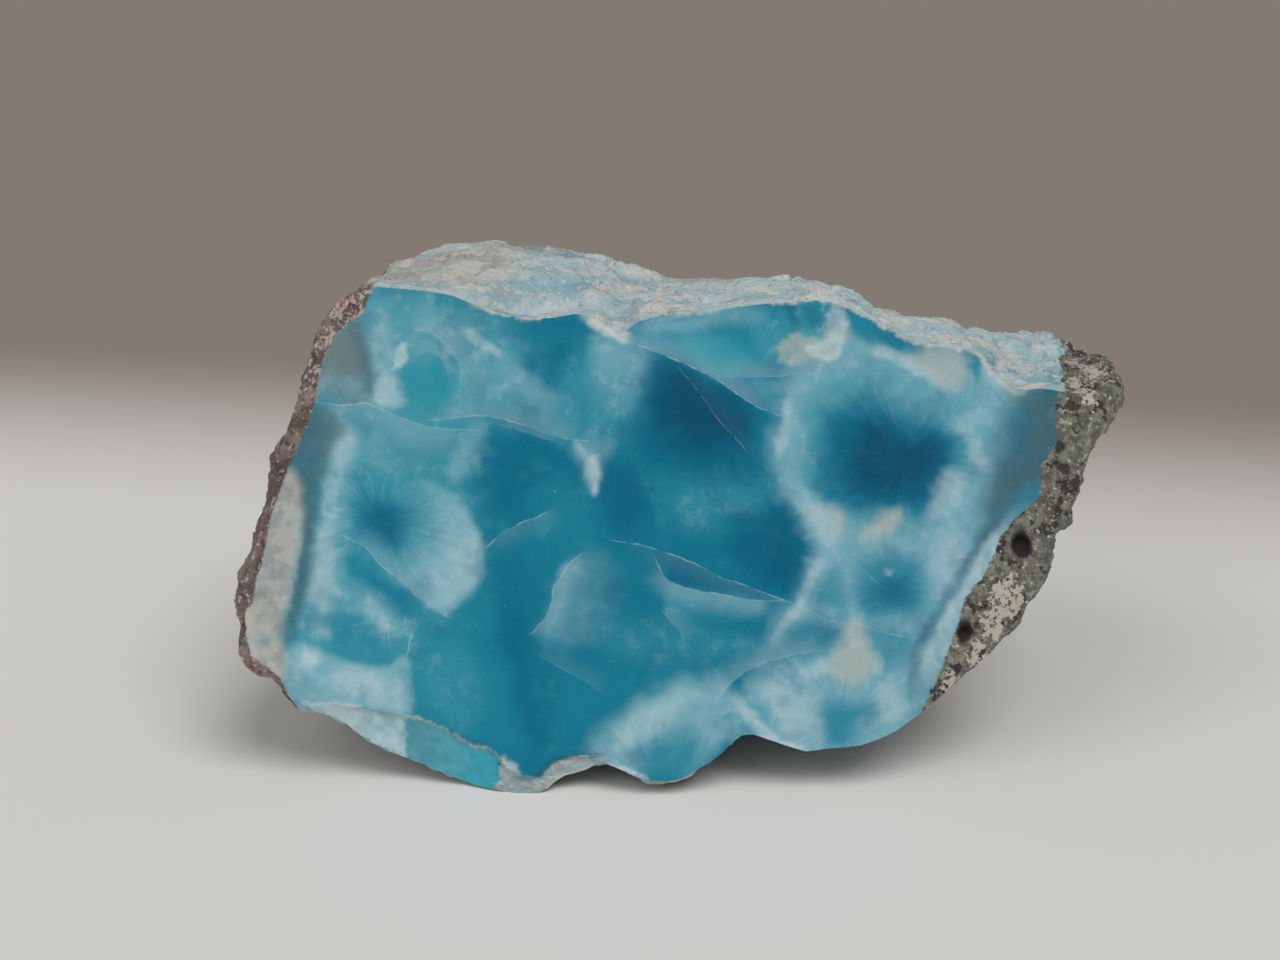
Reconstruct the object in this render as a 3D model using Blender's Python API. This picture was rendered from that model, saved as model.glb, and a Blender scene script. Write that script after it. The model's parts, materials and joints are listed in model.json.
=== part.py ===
"""A rough chunk of larimar with one sawn face, standing on its broken lower edge.

Larimar is blue pectolite that filled a gap in basalt. The chunk is one solid, because the blue
stone, the thin weathered crust down its left edge and the basalt down its right edge grew
together. Metres, +Z up. The sawn face looks towards -Y and leans back, and the origin is on
the floor under the middle of the chunk.

Points on the stone are given in millimetres on the sawn face: u to the right, v up the face
and w the depth behind it.
"""

import math

import bmesh
import bpy
from mathutils import Vector, noise
from mathutils.geometry import delaunay_2d_cdt

MM = 0.001

# Placing of the sawn face
LEAN = math.radians(17.0)
FACE_FOOT = Vector((-4.6, -25.2, 0.5))
UP_THE_FACE = Vector((0.0, math.sin(LEAN), math.cos(LEAN)))
INTO_THE_STONE = Vector((0.0, math.cos(LEAN), -math.sin(LEAN)))

# Mesh spacing
SIDE_STEPS = {"left": 34, "bottom": 62, "right": 32, "top": 62}
RINGS = 12
RING_CROWDING = 1.2
FACE_GRID = 2.5
BACK_GRID = 3.6
GRID_CLEARANCE = 0.6
WELD_DISTANCE = 1e-5

# Edge of the sawn face, anticlockwise from its top left corner, one list for each side
LEFT_EDGE = [
    (-26.9, 52.0), (-29.4, 51.3), (-31.1, 50.4), (-32.1, 48.7), (-33.2, 46.5), (-34.0, 44.3),
    (-34.7, 41.5), (-35.6, 39.3), (-36.4, 35.9), (-37.0, 32.7), (-37.9, 29.4), (-38.9, 26.9),
    (-40.3, 22.8), (-41.1, 21.0), (-41.4, 19.4), (-41.4, 17.9), (-40.9, 17.4), (-41.1, 16.6),
    (-41.3, 14.7), (-40.8, 13.4), (-39.5, 12.2), (-37.0, 11.6), (-35.6, 9.7), (-34.5, 8.8),
]
BOTTOM_EDGE = [
    (-34.5, 8.8), (-32.9, 8.3), (-30.7, 7.5), (-28.5, 5.5), (-27.1, 4.5), (-24.6, 3.5),
    (-22.8, 2.9), (-21.2, 2.1), (-17.6, 0.7), (-15.6, 0.3), (-14.2, 0.1), (-11.8, -0.1),
    (-10.3, -0.1), (-9.2, 0.6), (-8.3, 1.6), (-6.7, 2.0), (-5.5, 2.4), (-3.8, 3.4),
    (-2.2, 2.7), (-0.7, 2.0), (0.7, 1.5), (3.2, 1.4), (4.4, 1.7), (5.8, 2.6),
    (7.2, 3.3), (8.4, 4.3), (9.7, 5.6), (10.4, 6.1), (11.6, 6.2), (15.1, 5.0),
    (17.5, 4.3), (18.3, 4.7), (21.2, 4.9), (22.7, 5.1), (24.4, 5.7), (26.0, 6.4),
    (27.4, 7.4), (29.4, 8.9),
]
RIGHT_EDGE = [
    (29.4, 8.9), (30.9, 10.0), (33.0, 12.2), (35.8, 14.3), (38.0, 16.9), (39.3, 19.0),
    (40.9, 20.7), (41.8, 23.4), (42.2, 26.3), (43.4, 27.2), (44.3, 29.8), (45.2, 32.2),
    (46.2, 35.6), (47.8, 37.4), (48.7, 40.7),
]
TOP_EDGE = [
    (48.7, 40.7), (46.0, 40.8), (43.1, 41.3), (40.9, 41.6), (38.7, 41.3), (37.6, 42.1),
    (36.3, 42.9), (35.2, 44.3), (34.3, 45.5), (31.5, 45.9), (28.1, 46.4), (26.4, 47.2),
    (24.5, 48.3), (22.1, 49.4), (20.4, 50.1), (18.6, 50.6), (16.4, 50.4), (13.8, 50.4),
    (10.7, 50.1), (8.3, 49.7), (5.1, 49.5), (2.0, 49.0), (0.0, 48.4), (-1.6, 47.3),
    (-2.7, 47.1), (-3.5, 48.1), (-4.6, 48.9), (-6.6, 49.2), (-8.9, 48.8), (-10.7, 48.7),
    (-13.3, 49.0), (-15.3, 49.5), (-17.2, 50.2), (-18.9, 51.0), (-21.5, 51.5), (-26.9, 52.0),
]

# Edge of the broken back, matched side by side with the edge of the sawn face
LEFT_BACK = [
    (-27.4, 58.8, 31.0), (-28.6, 56.0, 31.0), (-31.6, 49.5, 30.0), (-35.0, 41.0, 29.0),
    (-38.0, 32.0, 29.0), (-39.2, 24.0, 29.0), (-38.0, 18.5, 29.0), (-35.0, 15.0, 29.0),
]
BOTTOM_BACK = [
    (-35.0, 15.0, 29.0), (-29.5, 12.0, 30.0), (-22.0, 9.4, 31.0), (-12.0, 8.2, 31.5),
    (0.0, 7.8, 32.0), (12.0, 7.4, 31.5), (21.0, 8.6, 30.0), (29.0, 12.4, 28.0),
    (34.0, 15.5, 27.0),
]
RIGHT_BACK = [
    (34.0, 15.5, 27.0), (39.0, 20.0, 27.0), (43.0, 26.0, 26.0), (46.0, 32.0, 25.0),
    (48.5, 38.0, 22.0), (50.0, 43.5, 18.0), (49.6, 47.2, 16.0),
]
TOP_BACK = [
    (49.6, 47.2, 16.0), (45.6, 48.3, 24.0), (41.9, 49.3, 26.0), (38.1, 49.6, 26.0),
    (30.9, 50.6, 26.0), (27.3, 52.3, 27.0), (23.8, 54.0, 28.0), (19.5, 55.4, 29.0),
    (13.5, 55.7, 31.0), (6.1, 56.5, 32.0), (1.0, 58.1, 32.0), (-6.4, 59.5, 32.0),
    (-13.7, 60.5, 32.0), (-18.9, 60.6, 32.0), (-24.1, 60.2, 31.5), (-27.4, 58.8, 31.0),
]
SIDE_BULGE = {"left": 0.5, "bottom": 0.2, "right": 1.4, "top": 0.3}
BACK_BULGE = 5.0
BACK_BULGE_REACH = 9.0

# Chipped facet and rough nub along the foot of the face, below this crease
FOOT_CREASE = [
    (-32.4, 9.3), (-30.2, 9.1), (-27.9, 8.9), (-24.4, 8.1), (-21.5, 7.5), (-19.9, 6.9),
    (-18.9, 6.1), (-17.4, 5.5), (-15.6, 5.1), (-14.6, 3.9), (-13.6, 2.7), (-12.4, 2.1),
    (-11.2, 1.8), (-9.9, 3.0), (-8.7, 3.9), (-6.3, 4.1), (-4.9, 4.2),
]
FOOT_STEP = 0.45
FOOT_SLOPE = 0.5
FOOT_FADE = 1.6

# Shallow hollow under the notch in the top edge, above this crease
LENS_CREASE = [
    (-1.4, 46.2), (1.0, 45.4), (4.5, 43.9), (7.7, 42.4), (10.8, 40.4), (14.0, 38.8),
]
LENS_DEPTH = 1.1
LENS_REACH = 5.0
LENS_FADE = 4.0

# Rounding of the sawn face where it meets the crust and the basalt
RIM_DROP = 0.5
RIM_REACH = 1.4

# Gas pits in the basalt: u, v, radius and depth
PITS = [
    (39.0, 25.6, 1.1, 0.9), (33.2, 16.6, 0.8, 0.7), (42.0, 29.6, 0.6, 0.5),
    (44.7, 37.4, 0.7, 0.5), (42.6, 33.7, 0.7, 0.5), (35.2, 18.9, 0.6, 0.4),
]
PIT_SIDES = 7
PIT_FLOOR = 0.55

# Flat breaks across the back: a point on each in u, v, w, and the way that it faces
BREAKS = [
    ((-8.0, 34.0, 35.5), (-0.20, -0.02, 1.0)),
    ((18.0, 34.0, 34.0), (0.30, -0.10, 1.0)),
    ((-36.5, 22.0, 24.0), (-0.80, -0.25, 0.55)),
    ((43.5, 30.0, 21.0), (0.70, -0.25, 0.60)),
    ((8.0, 14.0, 34.0), (0.05, -0.50, 0.80)),
    ((32.0, 11.5, 14.0), (0.55, -0.80, 0.15)),
]
HEART = (4.0, 30.0, 14.0)

# Broken surface as height and size: lumps, stepped splinters and grain
LUMP = (1.3, 16.0)
SPLINTER = (1.4, 7.0)
GRAIN = (0.5, 3.2)
SPLINTER_STRETCH = Vector((0.5, 1.0, 1.0))
SPLINTER_SWIRL = 0.3
EDGE_FADE = 0.16
SEED = Vector((31.7, 12.4, 5.9))

LARIMAR = ("larimar", (0.05, 0.33, 0.45), 0.42)
CRUST = ("weathered_crust", (0.33, 0.27, 0.26), 0.9)
BASALT = ("basalt", (0.19, 0.21, 0.18), 0.88)
CRUST_WIDTH = 1.3
BASALT_EDGE = [(29.2, 8.0), (31.8, 13.6), (33.6, 21.6), (36.5, 25.6), (41.2, 34.0), (43.0, 41.5)]


def place(u, v, w):
    """The point in the world, in metres, of a point given on the sawn face."""
    point = FACE_FOOT + Vector((u, 0.0, 0.0)) + UP_THE_FACE * v + INTO_THE_STONE * w
    return point * MM


def clamp(value):
    return max(0.0, min(1.0, value))


def smooth(value):
    """0 up to 0, 1 from 1 on, and an S-shaped rise between."""
    value = clamp(value)
    return value * value * (3.0 - 2.0 * value)


def evenly(points, count):
    """count points spaced evenly along a line, from its first point up to its last one."""
    points = [Vector(p) for p in points]
    lengths = [(b - a).length for a, b in zip(points, points[1:])]
    spacing = sum(lengths) / count
    result = []
    leg = 0
    passed = 0.0
    for step in range(count):
        goal = step * spacing
        while passed + lengths[leg] < goal:
            passed += lengths[leg]
            leg += 1
        result.append(points[leg].lerp(points[leg + 1], (goal - passed) / lengths[leg]))
    return result


def distance_to_line(point, line):
    """Distance from a point to a line on the face, and how far above the line it lies."""
    best = None
    for a, b in zip(line, line[1:]):
        start = Vector(a)
        along = Vector(b) - start
        share = clamp((point - start).dot(along) / along.length_squared)
        offset = point - (start + along * share)
        if best is None or offset.length < best[0]:
            best = (offset.length, offset.y)
    return best


def fade_past_ends(u, line, reach):
    """1 between the ends of a line, falling to 0 within reach of them on the outside."""
    return smooth((u - line[0][0]) / reach + 1.0) * smooth((line[-1][0] - u) / reach + 1.0)


def relief(u, v, edge_distance):
    """How far the sawn face is set back at a point, by its chips, hollow and rounded rims."""
    point = Vector((u, v))
    depth = 0.0
    away, above = distance_to_line(point, FOOT_CREASE)
    if above < 0.0:
        fade = fade_past_ends(u, FOOT_CREASE, FOOT_FADE)
        depth += (FOOT_STEP * smooth(away / FOOT_STEP) + FOOT_SLOPE * away) * fade
    away, above = distance_to_line(point, LENS_CREASE)
    if above > 0.0:
        fade = fade_past_ends(u, LENS_CREASE, LENS_FADE)
        depth += LENS_DEPTH * smooth(away / LENS_REACH) * fade
    if in_crust(u, v) or in_basalt(u, v):
        depth += RIM_DROP * (1.0 - smooth(edge_distance / RIM_REACH))
    return depth


def in_basalt(u, v):
    """Whether a point lies right of the line where the basalt starts."""
    for (u0, v0), (u1, v1) in zip(BASALT_EDGE, BASALT_EDGE[1:]):
        if v0 <= v < v1:
            return u > u0 + (u1 - u0) * (v - v0) / (v1 - v0)
    return u > BASALT_EDGE[-1][0] and v >= BASALT_EDGE[-1][1]


def in_crust(u, v):
    """Whether a point lies within the thickness of the crust down the left edge."""
    away, _ = distance_to_line(Vector((u, v)), LEFT_EDGE)
    return away < CRUST_WIDTH


def broken_surface(point):
    """How far the broken surface stands out at a point, in millimetres."""
    spot = point + SEED
    lump_height, lump_size = LUMP
    splinter_height, splinter_size = SPLINTER
    grain_height, grain_size = GRAIN
    lump = noise.fractal(spot / lump_size, 1.0, 2.0, 3)
    stretched = spot * SPLINTER_STRETCH / splinter_size
    swirl = noise.noise(stretched) * SPLINTER_SWIRL
    splinter = noise.cell(stretched + Vector((swirl, -swirl, swirl))) * 0.5
    grain = noise.noise(spot / grain_size)
    return lump * lump_height + splinter * splinter_height + grain * grain_height


def face_loop():
    """The edge of the sawn face and the edge of the back, point for point."""
    sides = {
        "left": (LEFT_EDGE, LEFT_BACK),
        "bottom": (BOTTOM_EDGE, BOTTOM_BACK),
        "right": (RIGHT_EDGE, RIGHT_BACK),
        "top": (TOP_EDGE, TOP_BACK),
    }
    front = []
    back = []
    bulge = []
    for side, (edge, edge_at_back) in sides.items():
        steps = SIDE_STEPS[side]
        front += evenly(edge, steps)
        back += evenly(edge_at_back, steps)
        bulge += [SIDE_BULGE[side]] * steps
    return front, back, bulge


def inside(point, loop):
    """Whether a point lies inside a closed loop on the face."""
    crossings = 0
    for a, b in zip(loop, loop[1:] + loop[:1]):
        if (a.y > point.y) != (b.y > point.y):
            if point.x < a.x + (b.x - a.x) * (point.y - a.y) / (b.y - a.y):
                crossings += 1
    return crossings % 2 == 1


def distance_to_loop(point, loop):
    return min((point - a).length for a in loop)


def grid_inside(loop, spacing, keep_off):
    """Points of a triangular grid that lie well inside a loop and off other points."""
    us = [p.x for p in loop]
    vs = [p.y for p in loop]
    clearance = spacing * GRID_CLEARANCE
    row_height = spacing * math.sqrt(0.75)
    rows = int((max(vs) - min(vs)) / row_height) + 1
    columns = int((max(us) - min(us)) / spacing) + 1
    points = []
    for row in range(rows):
        for column in range(columns):
            u = min(us) + (column + 0.5 * (row % 2)) * spacing
            point = Vector((u, min(vs) + row * row_height))
            clear = all((point - other).length > clearance for other in keep_off)
            if clear and inside(point, loop) and distance_to_loop(point, loop) > clearance:
                points.append(point)
    return points


def pit_rings():
    """The points of each gas pit, as rim, floor and middle, with their depths."""
    points = []
    for u, v, radius, depth in PITS:
        for share, drop in ((1.0, 0.0), (PIT_FLOOR, depth)):
            for side in range(PIT_SIDES):
                angle = 2.0 * math.pi * side / PIT_SIDES
                across = Vector((math.cos(angle), math.sin(angle))) * radius * share
                points.append((Vector((u, v)) + across, drop))
        points.append((Vector((u, v)), depth))
    return points


def fill(loop, extra_points, lines):
    """Triangles that fill a loop through further points, along the lines given."""
    count = len(loop)
    points = loop + extra_points
    result = delaunay_2d_cdt(points, lines, [list(range(count))], 1, WELD_DISTANCE)
    corners, _, triangles, origins = result[0], result[1], result[2], result[3]
    return corners, triangles, [group[0] if group else None for group in origins]


def add_front(bm, rim, loop):
    """The sawn face, from its rim inwards."""
    foot = [Vector(p) for p in FOOT_CREASE]
    foot_step = [Vector((p.x, p.y - FOOT_STEP)) for p in foot[1:-1]]
    lens = [Vector(p) for p in LENS_CREASE]
    pits = pit_rings()
    placed = foot + foot_step + lens + [point for point, _ in pits]
    grid = grid_inside(loop, FACE_GRID, placed)
    start = len(loop)
    foot_line = [(start + i, start + i + 1) for i in range(len(foot) - 1)]
    start += len(foot)
    step_line = [(start + i, start + i + 1) for i in range(len(foot_step) - 1)]
    start += len(foot_step)
    lens_line = [(start + i, start + i + 1) for i in range(len(lens) - 1)]
    corners, triangles, origins = fill(loop, placed + grid, foot_line + step_line + lens_line)
    first_pit = len(loop) + len(foot) + len(foot_step) + len(lens)
    made = []
    for corner, origin in zip(corners, origins):
        if origin is not None and origin < len(loop):
            made.append(rim[origin])
            continue
        depth = relief(corner.x, corner.y, distance_to_loop(corner, loop))
        if origin is not None and first_pit <= origin < first_pit + len(pits):
            depth += pits[origin - first_pit][1]
        made.append(bm.verts.new(place(corner.x, corner.y, depth)))
    for triangle in triangles:
        bm.faces.new([made[i] for i in triangle])


def add_back(bm, rim, back):
    """The broken back, from its rim inwards; it swells away from the rim."""
    flat_loop = [p.xy for p in back]
    corners, triangles, origins = fill(flat_loop, grid_inside(flat_loop, BACK_GRID, []), [])
    made = []
    new = []
    for corner, origin in zip(corners, origins):
        if origin is not None and origin < len(rim):
            made.append(rim[origin])
            continue
        weights = [1.0 / (corner - p).length_squared for p in flat_loop]
        depth = sum(weight * p.z for weight, p in zip(weights, back)) / sum(weights)
        near = distance_to_loop(corner, flat_loop)
        depth += BACK_BULGE * smooth(near / BACK_BULGE_REACH)
        vertex = bm.verts.new(place(corner.x, corner.y, depth))
        made.append(vertex)
        new.append(vertex)
    for triangle in triangles:
        bm.faces.new([made[i] for i in reversed(triangle)])
    return new


def add_sides(bm, front, back, bulge):
    """Rings from the edge of the sawn face to the edge of the back."""
    count = len(front)
    middle = sum(front, Vector((0.0, 0.0))) / count
    rings = []
    for ring in range(RINGS + 1):
        share = (ring / RINGS) ** RING_CROWDING
        verts = []
        for start, end, swell in zip(front, back, bulge):
            near = Vector((start.x, start.y, relief(start.x, start.y, 0.0)))
            arch = 4.0 * share * (1.0 - share)
            lift = (start - middle).normalized().to_3d() * swell * arch
            verts.append(bm.verts.new(place(*(near.lerp(end, share) + lift))))
        rings.append(verts)
    for ring, further in zip(rings, rings[1:]):
        for i in range(count):
            j = (i + 1) % count
            bm.faces.new((ring[j], ring[i], further[i], further[j]))
    return rings


def roughen(bm, rings, back_verts):
    """Break up every surface but the sawn one, less and less towards the sawn edge."""
    bm.normal_update()
    moves = []
    for number, ring in enumerate(rings[1:], start=1):
        fade = smooth(number / RINGS / EDGE_FADE)
        moves += [(vertex, fade) for vertex in ring]
    moves += [(vertex, 1.0) for vertex in back_verts]
    offsets = [
        vertex.normal * broken_surface(vertex.co / MM - FACE_FOOT) * fade * MM
        for vertex, fade in moves
    ]
    for (vertex, _), offset in zip(moves, offsets):
        vertex.co += offset


def break_back(bm):
    """Draw what stands out past each flat break towards the heart of the chunk, onto the break."""
    heart = place(*HEART)
    for corner, facing in BREAKS:
        corner = place(*corner)
        facing = place(*facing) - place(0.0, 0.0, 0.0)
        for vertex in bm.verts:
            if (vertex.co - corner).dot(facing) > 0.0:
                ray = vertex.co - heart
                vertex.co = heart + ray * ((corner - heart).dot(facing) / ray.dot(facing))


def stand_on_floor(bm):
    """Rub flat whatever would reach below the floor, as the resting patch of the chunk."""
    for vertex in bm.verts:
        vertex.co.z = max(vertex.co.z, 0.0)


def material(name, colour, roughness):
    result = bpy.data.materials.new(name)
    result.use_nodes = True
    shader = result.node_tree.nodes["Principled BSDF"]
    shader.inputs["Base Color"].default_value = (*colour, 1.0)
    shader.inputs["Roughness"].default_value = roughness
    shader.inputs["Metallic"].default_value = 0.0
    result.diffuse_color = (*colour, 1.0)
    return result


def on_face(point):
    """The u and v, in millimetres, of a point in the world."""
    offset = point / MM - FACE_FOOT
    return offset.x, offset.dot(UP_THE_FACE)


def build_stone():
    front, back, bulge = face_loop()
    bm = bmesh.new()
    rings = add_sides(bm, front, back, bulge)
    add_front(bm, rings[0], front)
    back_verts = add_back(bm, rings[-1], back)
    break_back(bm)
    roughen(bm, rings, back_verts)
    stand_on_floor(bm)
    bmesh.ops.triangulate(bm, faces=bm.faces[:])
    for face in bm.faces:
        u, v = on_face(face.calc_center_median())
        if in_basalt(u, v):
            face.material_index = 2
        elif in_crust(u, v):
            face.material_index = 1
    mesh = bpy.data.meshes.new("larimar_stone")
    bm.to_mesh(mesh)
    bm.free()
    for parts in (LARIMAR, CRUST, BASALT):
        mesh.materials.append(material(*parts))
    stone = bpy.data.objects.new("larimar_stone", mesh)
    bpy.context.collection.objects.link(stone)
    return stone


def main():
    for leftover in list(bpy.data.objects):
        bpy.data.objects.remove(leftover)
    build_stone()


main()
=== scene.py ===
import json
import math
from functools import partial

import bmesh
import bpy
import numpy as np
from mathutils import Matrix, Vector, noise
from mathutils.bvhtree import BVHTree
from mathutils.geometry import delaunay_2d_cdt


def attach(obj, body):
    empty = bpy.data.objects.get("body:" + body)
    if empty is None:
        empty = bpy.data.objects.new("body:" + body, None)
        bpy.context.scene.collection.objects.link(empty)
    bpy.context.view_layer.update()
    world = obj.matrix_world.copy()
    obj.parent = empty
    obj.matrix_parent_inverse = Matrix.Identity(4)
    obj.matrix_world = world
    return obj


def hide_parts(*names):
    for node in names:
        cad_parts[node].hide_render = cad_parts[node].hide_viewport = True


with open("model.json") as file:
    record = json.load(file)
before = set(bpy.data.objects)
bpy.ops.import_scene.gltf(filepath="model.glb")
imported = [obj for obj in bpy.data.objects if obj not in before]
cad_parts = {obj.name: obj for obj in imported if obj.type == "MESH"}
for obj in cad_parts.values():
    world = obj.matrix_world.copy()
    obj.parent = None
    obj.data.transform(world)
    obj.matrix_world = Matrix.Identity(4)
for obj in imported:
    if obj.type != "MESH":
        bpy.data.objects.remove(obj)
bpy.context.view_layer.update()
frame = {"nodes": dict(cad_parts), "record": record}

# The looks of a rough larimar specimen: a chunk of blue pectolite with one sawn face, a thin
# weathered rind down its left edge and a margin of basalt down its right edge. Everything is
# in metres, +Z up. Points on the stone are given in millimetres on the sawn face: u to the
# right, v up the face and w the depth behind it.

bl_info = {
    "name": "Rough Larimar",
    "version": (1, 0, 0),
    "blender": (4, 5, 0),
    "location": "View3D > Sidebar > Larimar",
    "description": "A rough larimar specimen with one sawn face, on a plain pale floor",
    "category": "Add Mesh",
}

NODE = "larimar_stone"
BODY = "root"
MM = 0.001

# The sawn face, placed by the mount of that name, which lies this high on it
SAWN_MOUNT = next(mount for mount in frame["record"]["mounts"] if mount["name"] == "sawn_face")
MOUNT_HEIGHT = 25.0
OUTWARDS = Vector(SAWN_MOUNT["axis"])
RIGHTWARDS = Vector((1.0, 0.0, 0.0))
UP_THE_FACE = OUTWARDS.cross(RIGHTWARDS)
FACE_FOOT = Vector(SAWN_MOUNT["pos_m"]) - UP_THE_FACE * MOUNT_HEIGHT * MM


def linear(hex_colour):
    """Linear red, green and blue of an sRGB hex colour."""
    channels = [int(hex_colour[i:i + 2], 16) / 255.0 for i in (1, 3, 5)]
    return tuple(c / 12.92 if c <= 0.04045 else ((c + 0.055) / 1.055) ** 2.4 for c in channels)


def colour(name, description, hex_colour):
    return bpy.props.FloatVectorProperty(
        name=name, description=description, subtype="COLOR", size=3, min=0.0, max=1.0,
        default=linear(hex_colour),
    )


def length(name, description, millimetres):
    return bpy.props.FloatProperty(
        name=name, description=description, unit="LENGTH", subtype="DISTANCE", precision=5,
        min=0.0, default=millimetres * MM,
    )


class LarimarTints(bpy.types.PropertyGroup):
    """Colours of the minerals, as a clean sawn or broken surface shows them."""

    deep: colour("Deep Blue", "Clearest and darkest pectolite, where copper is richest", "#004c68")
    blue: colour("Blue", "Clear blue pectolite", "#006182")
    teal: colour("Teal", "Slightly green blue, between the middle blue and the turquoise", "#158199")
    mid: colour("Middle Blue", "Ordinary blue of the sawn face", "#07748f")
    turquoise: colour("Turquoise", "Greenish blue pools", "#3f9aab")
    lagoon: colour("Lagoon", "Greenest blue, under the notch and at the upper left", "#1b8fa0")
    sky: colour("Sky", "Pale blue fibrous pectolite", "#81b2bf")
    milk: colour("Milk", "White fibrous pectolite in veins and clouds", "#bfd3d8")
    cream: colour("Cream", "Beige patches of calcite and natrolite", "#b3b8ae")
    slate: colour("Slate", "Dark grey-teal selvage beside the rind and the basalt", "#45666f")
    steel: colour("Steel", "Dark blue-grey band along the basalt", "#3f687c")
    grey: colour("Grey", "Clear grey zeolite strip inside the rind", "#b1b0aa")
    blush: colour("Blush", "Pinkish beige crust on broken surfaces", "#aea49e")
    chalk: colour("Chalk", "White crust along broken edges", "#d6d2c8")
    ice: colour("Ice", "Pale blue of freshly broken pectolite", "#9fbfc8")
    frost: colour("Frost", "Thin white rim of the chipped facet, lit through", "#e2f2f5")
    lit_through_aqua: colour("Aqua", "Thin edges that light shines through", "#48b6c9")
    rind: colour("Rind", "Weathered brown-grey skin of the chunk", "#5a5150")
    basalt: colour("Basalt", "Altered grey-green basalt", "#858b7e")


class LarimarSizes(bpy.types.PropertyGroup):
    """Sizes of the stone's surface detail."""

    sawn_spacing: length("Sawn Spacing", "Distance between points on the sawn face", 0.3)
    rubble_height: length("Rubble Height", "Height of the lumps on broken surfaces", 0.45)
    plate_height: length("Plate Height", "Height of the tilted plates on broken surfaces", 0.75)
    splinter_height: length("Splinter Height", "Height of the splinters on broken surfaces", 0.4)


class StudioSettings(bpy.types.PropertyGroup):
    """Floor, light and camera."""

    floor: colour("Floor", "Matt pale floor", "#d9d7d4")
    surroundings: colour("Surroundings", "Warm grey beyond the pale floor", "#8a8178")
    key_strength: bpy.props.FloatProperty(
        name="Key Strength", description="Irradiance of the soft light from above and in front",
        min=0.0, default=1.75,
    )
    fill_strength: bpy.props.FloatProperty(
        name="Fill Strength", description="Irradiance of the soft light from the upper left",
        min=0.0, default=0.85,
    )
    room_strength: bpy.props.FloatProperty(
        name="Room Strength", description="Brightness of the dim room all round",
        min=0.0, default=0.22,
    )
    distance: length("Camera Distance", "Distance from the sawn face to the camera", 179.8)


# Markings of the sawn face. Softness and widths are in millimetres.

def pool(tint, softness, cover, outline, fade=None):
    """A patch of one tint in an outline with a soft edge, which may fade from one point to another."""
    return {
        "kind": "pool", "tint": tint, "softness": softness, "cover": cover, "line": outline,
        "fade": fade,
    }


def streak(tint, half_width, softness, cover, line):
    """A band of one tint along a line."""
    return {
        "kind": "streak", "tint": tint, "half_width": half_width, "softness": softness,
        "cover": cover, "line": line,
    }


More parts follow.
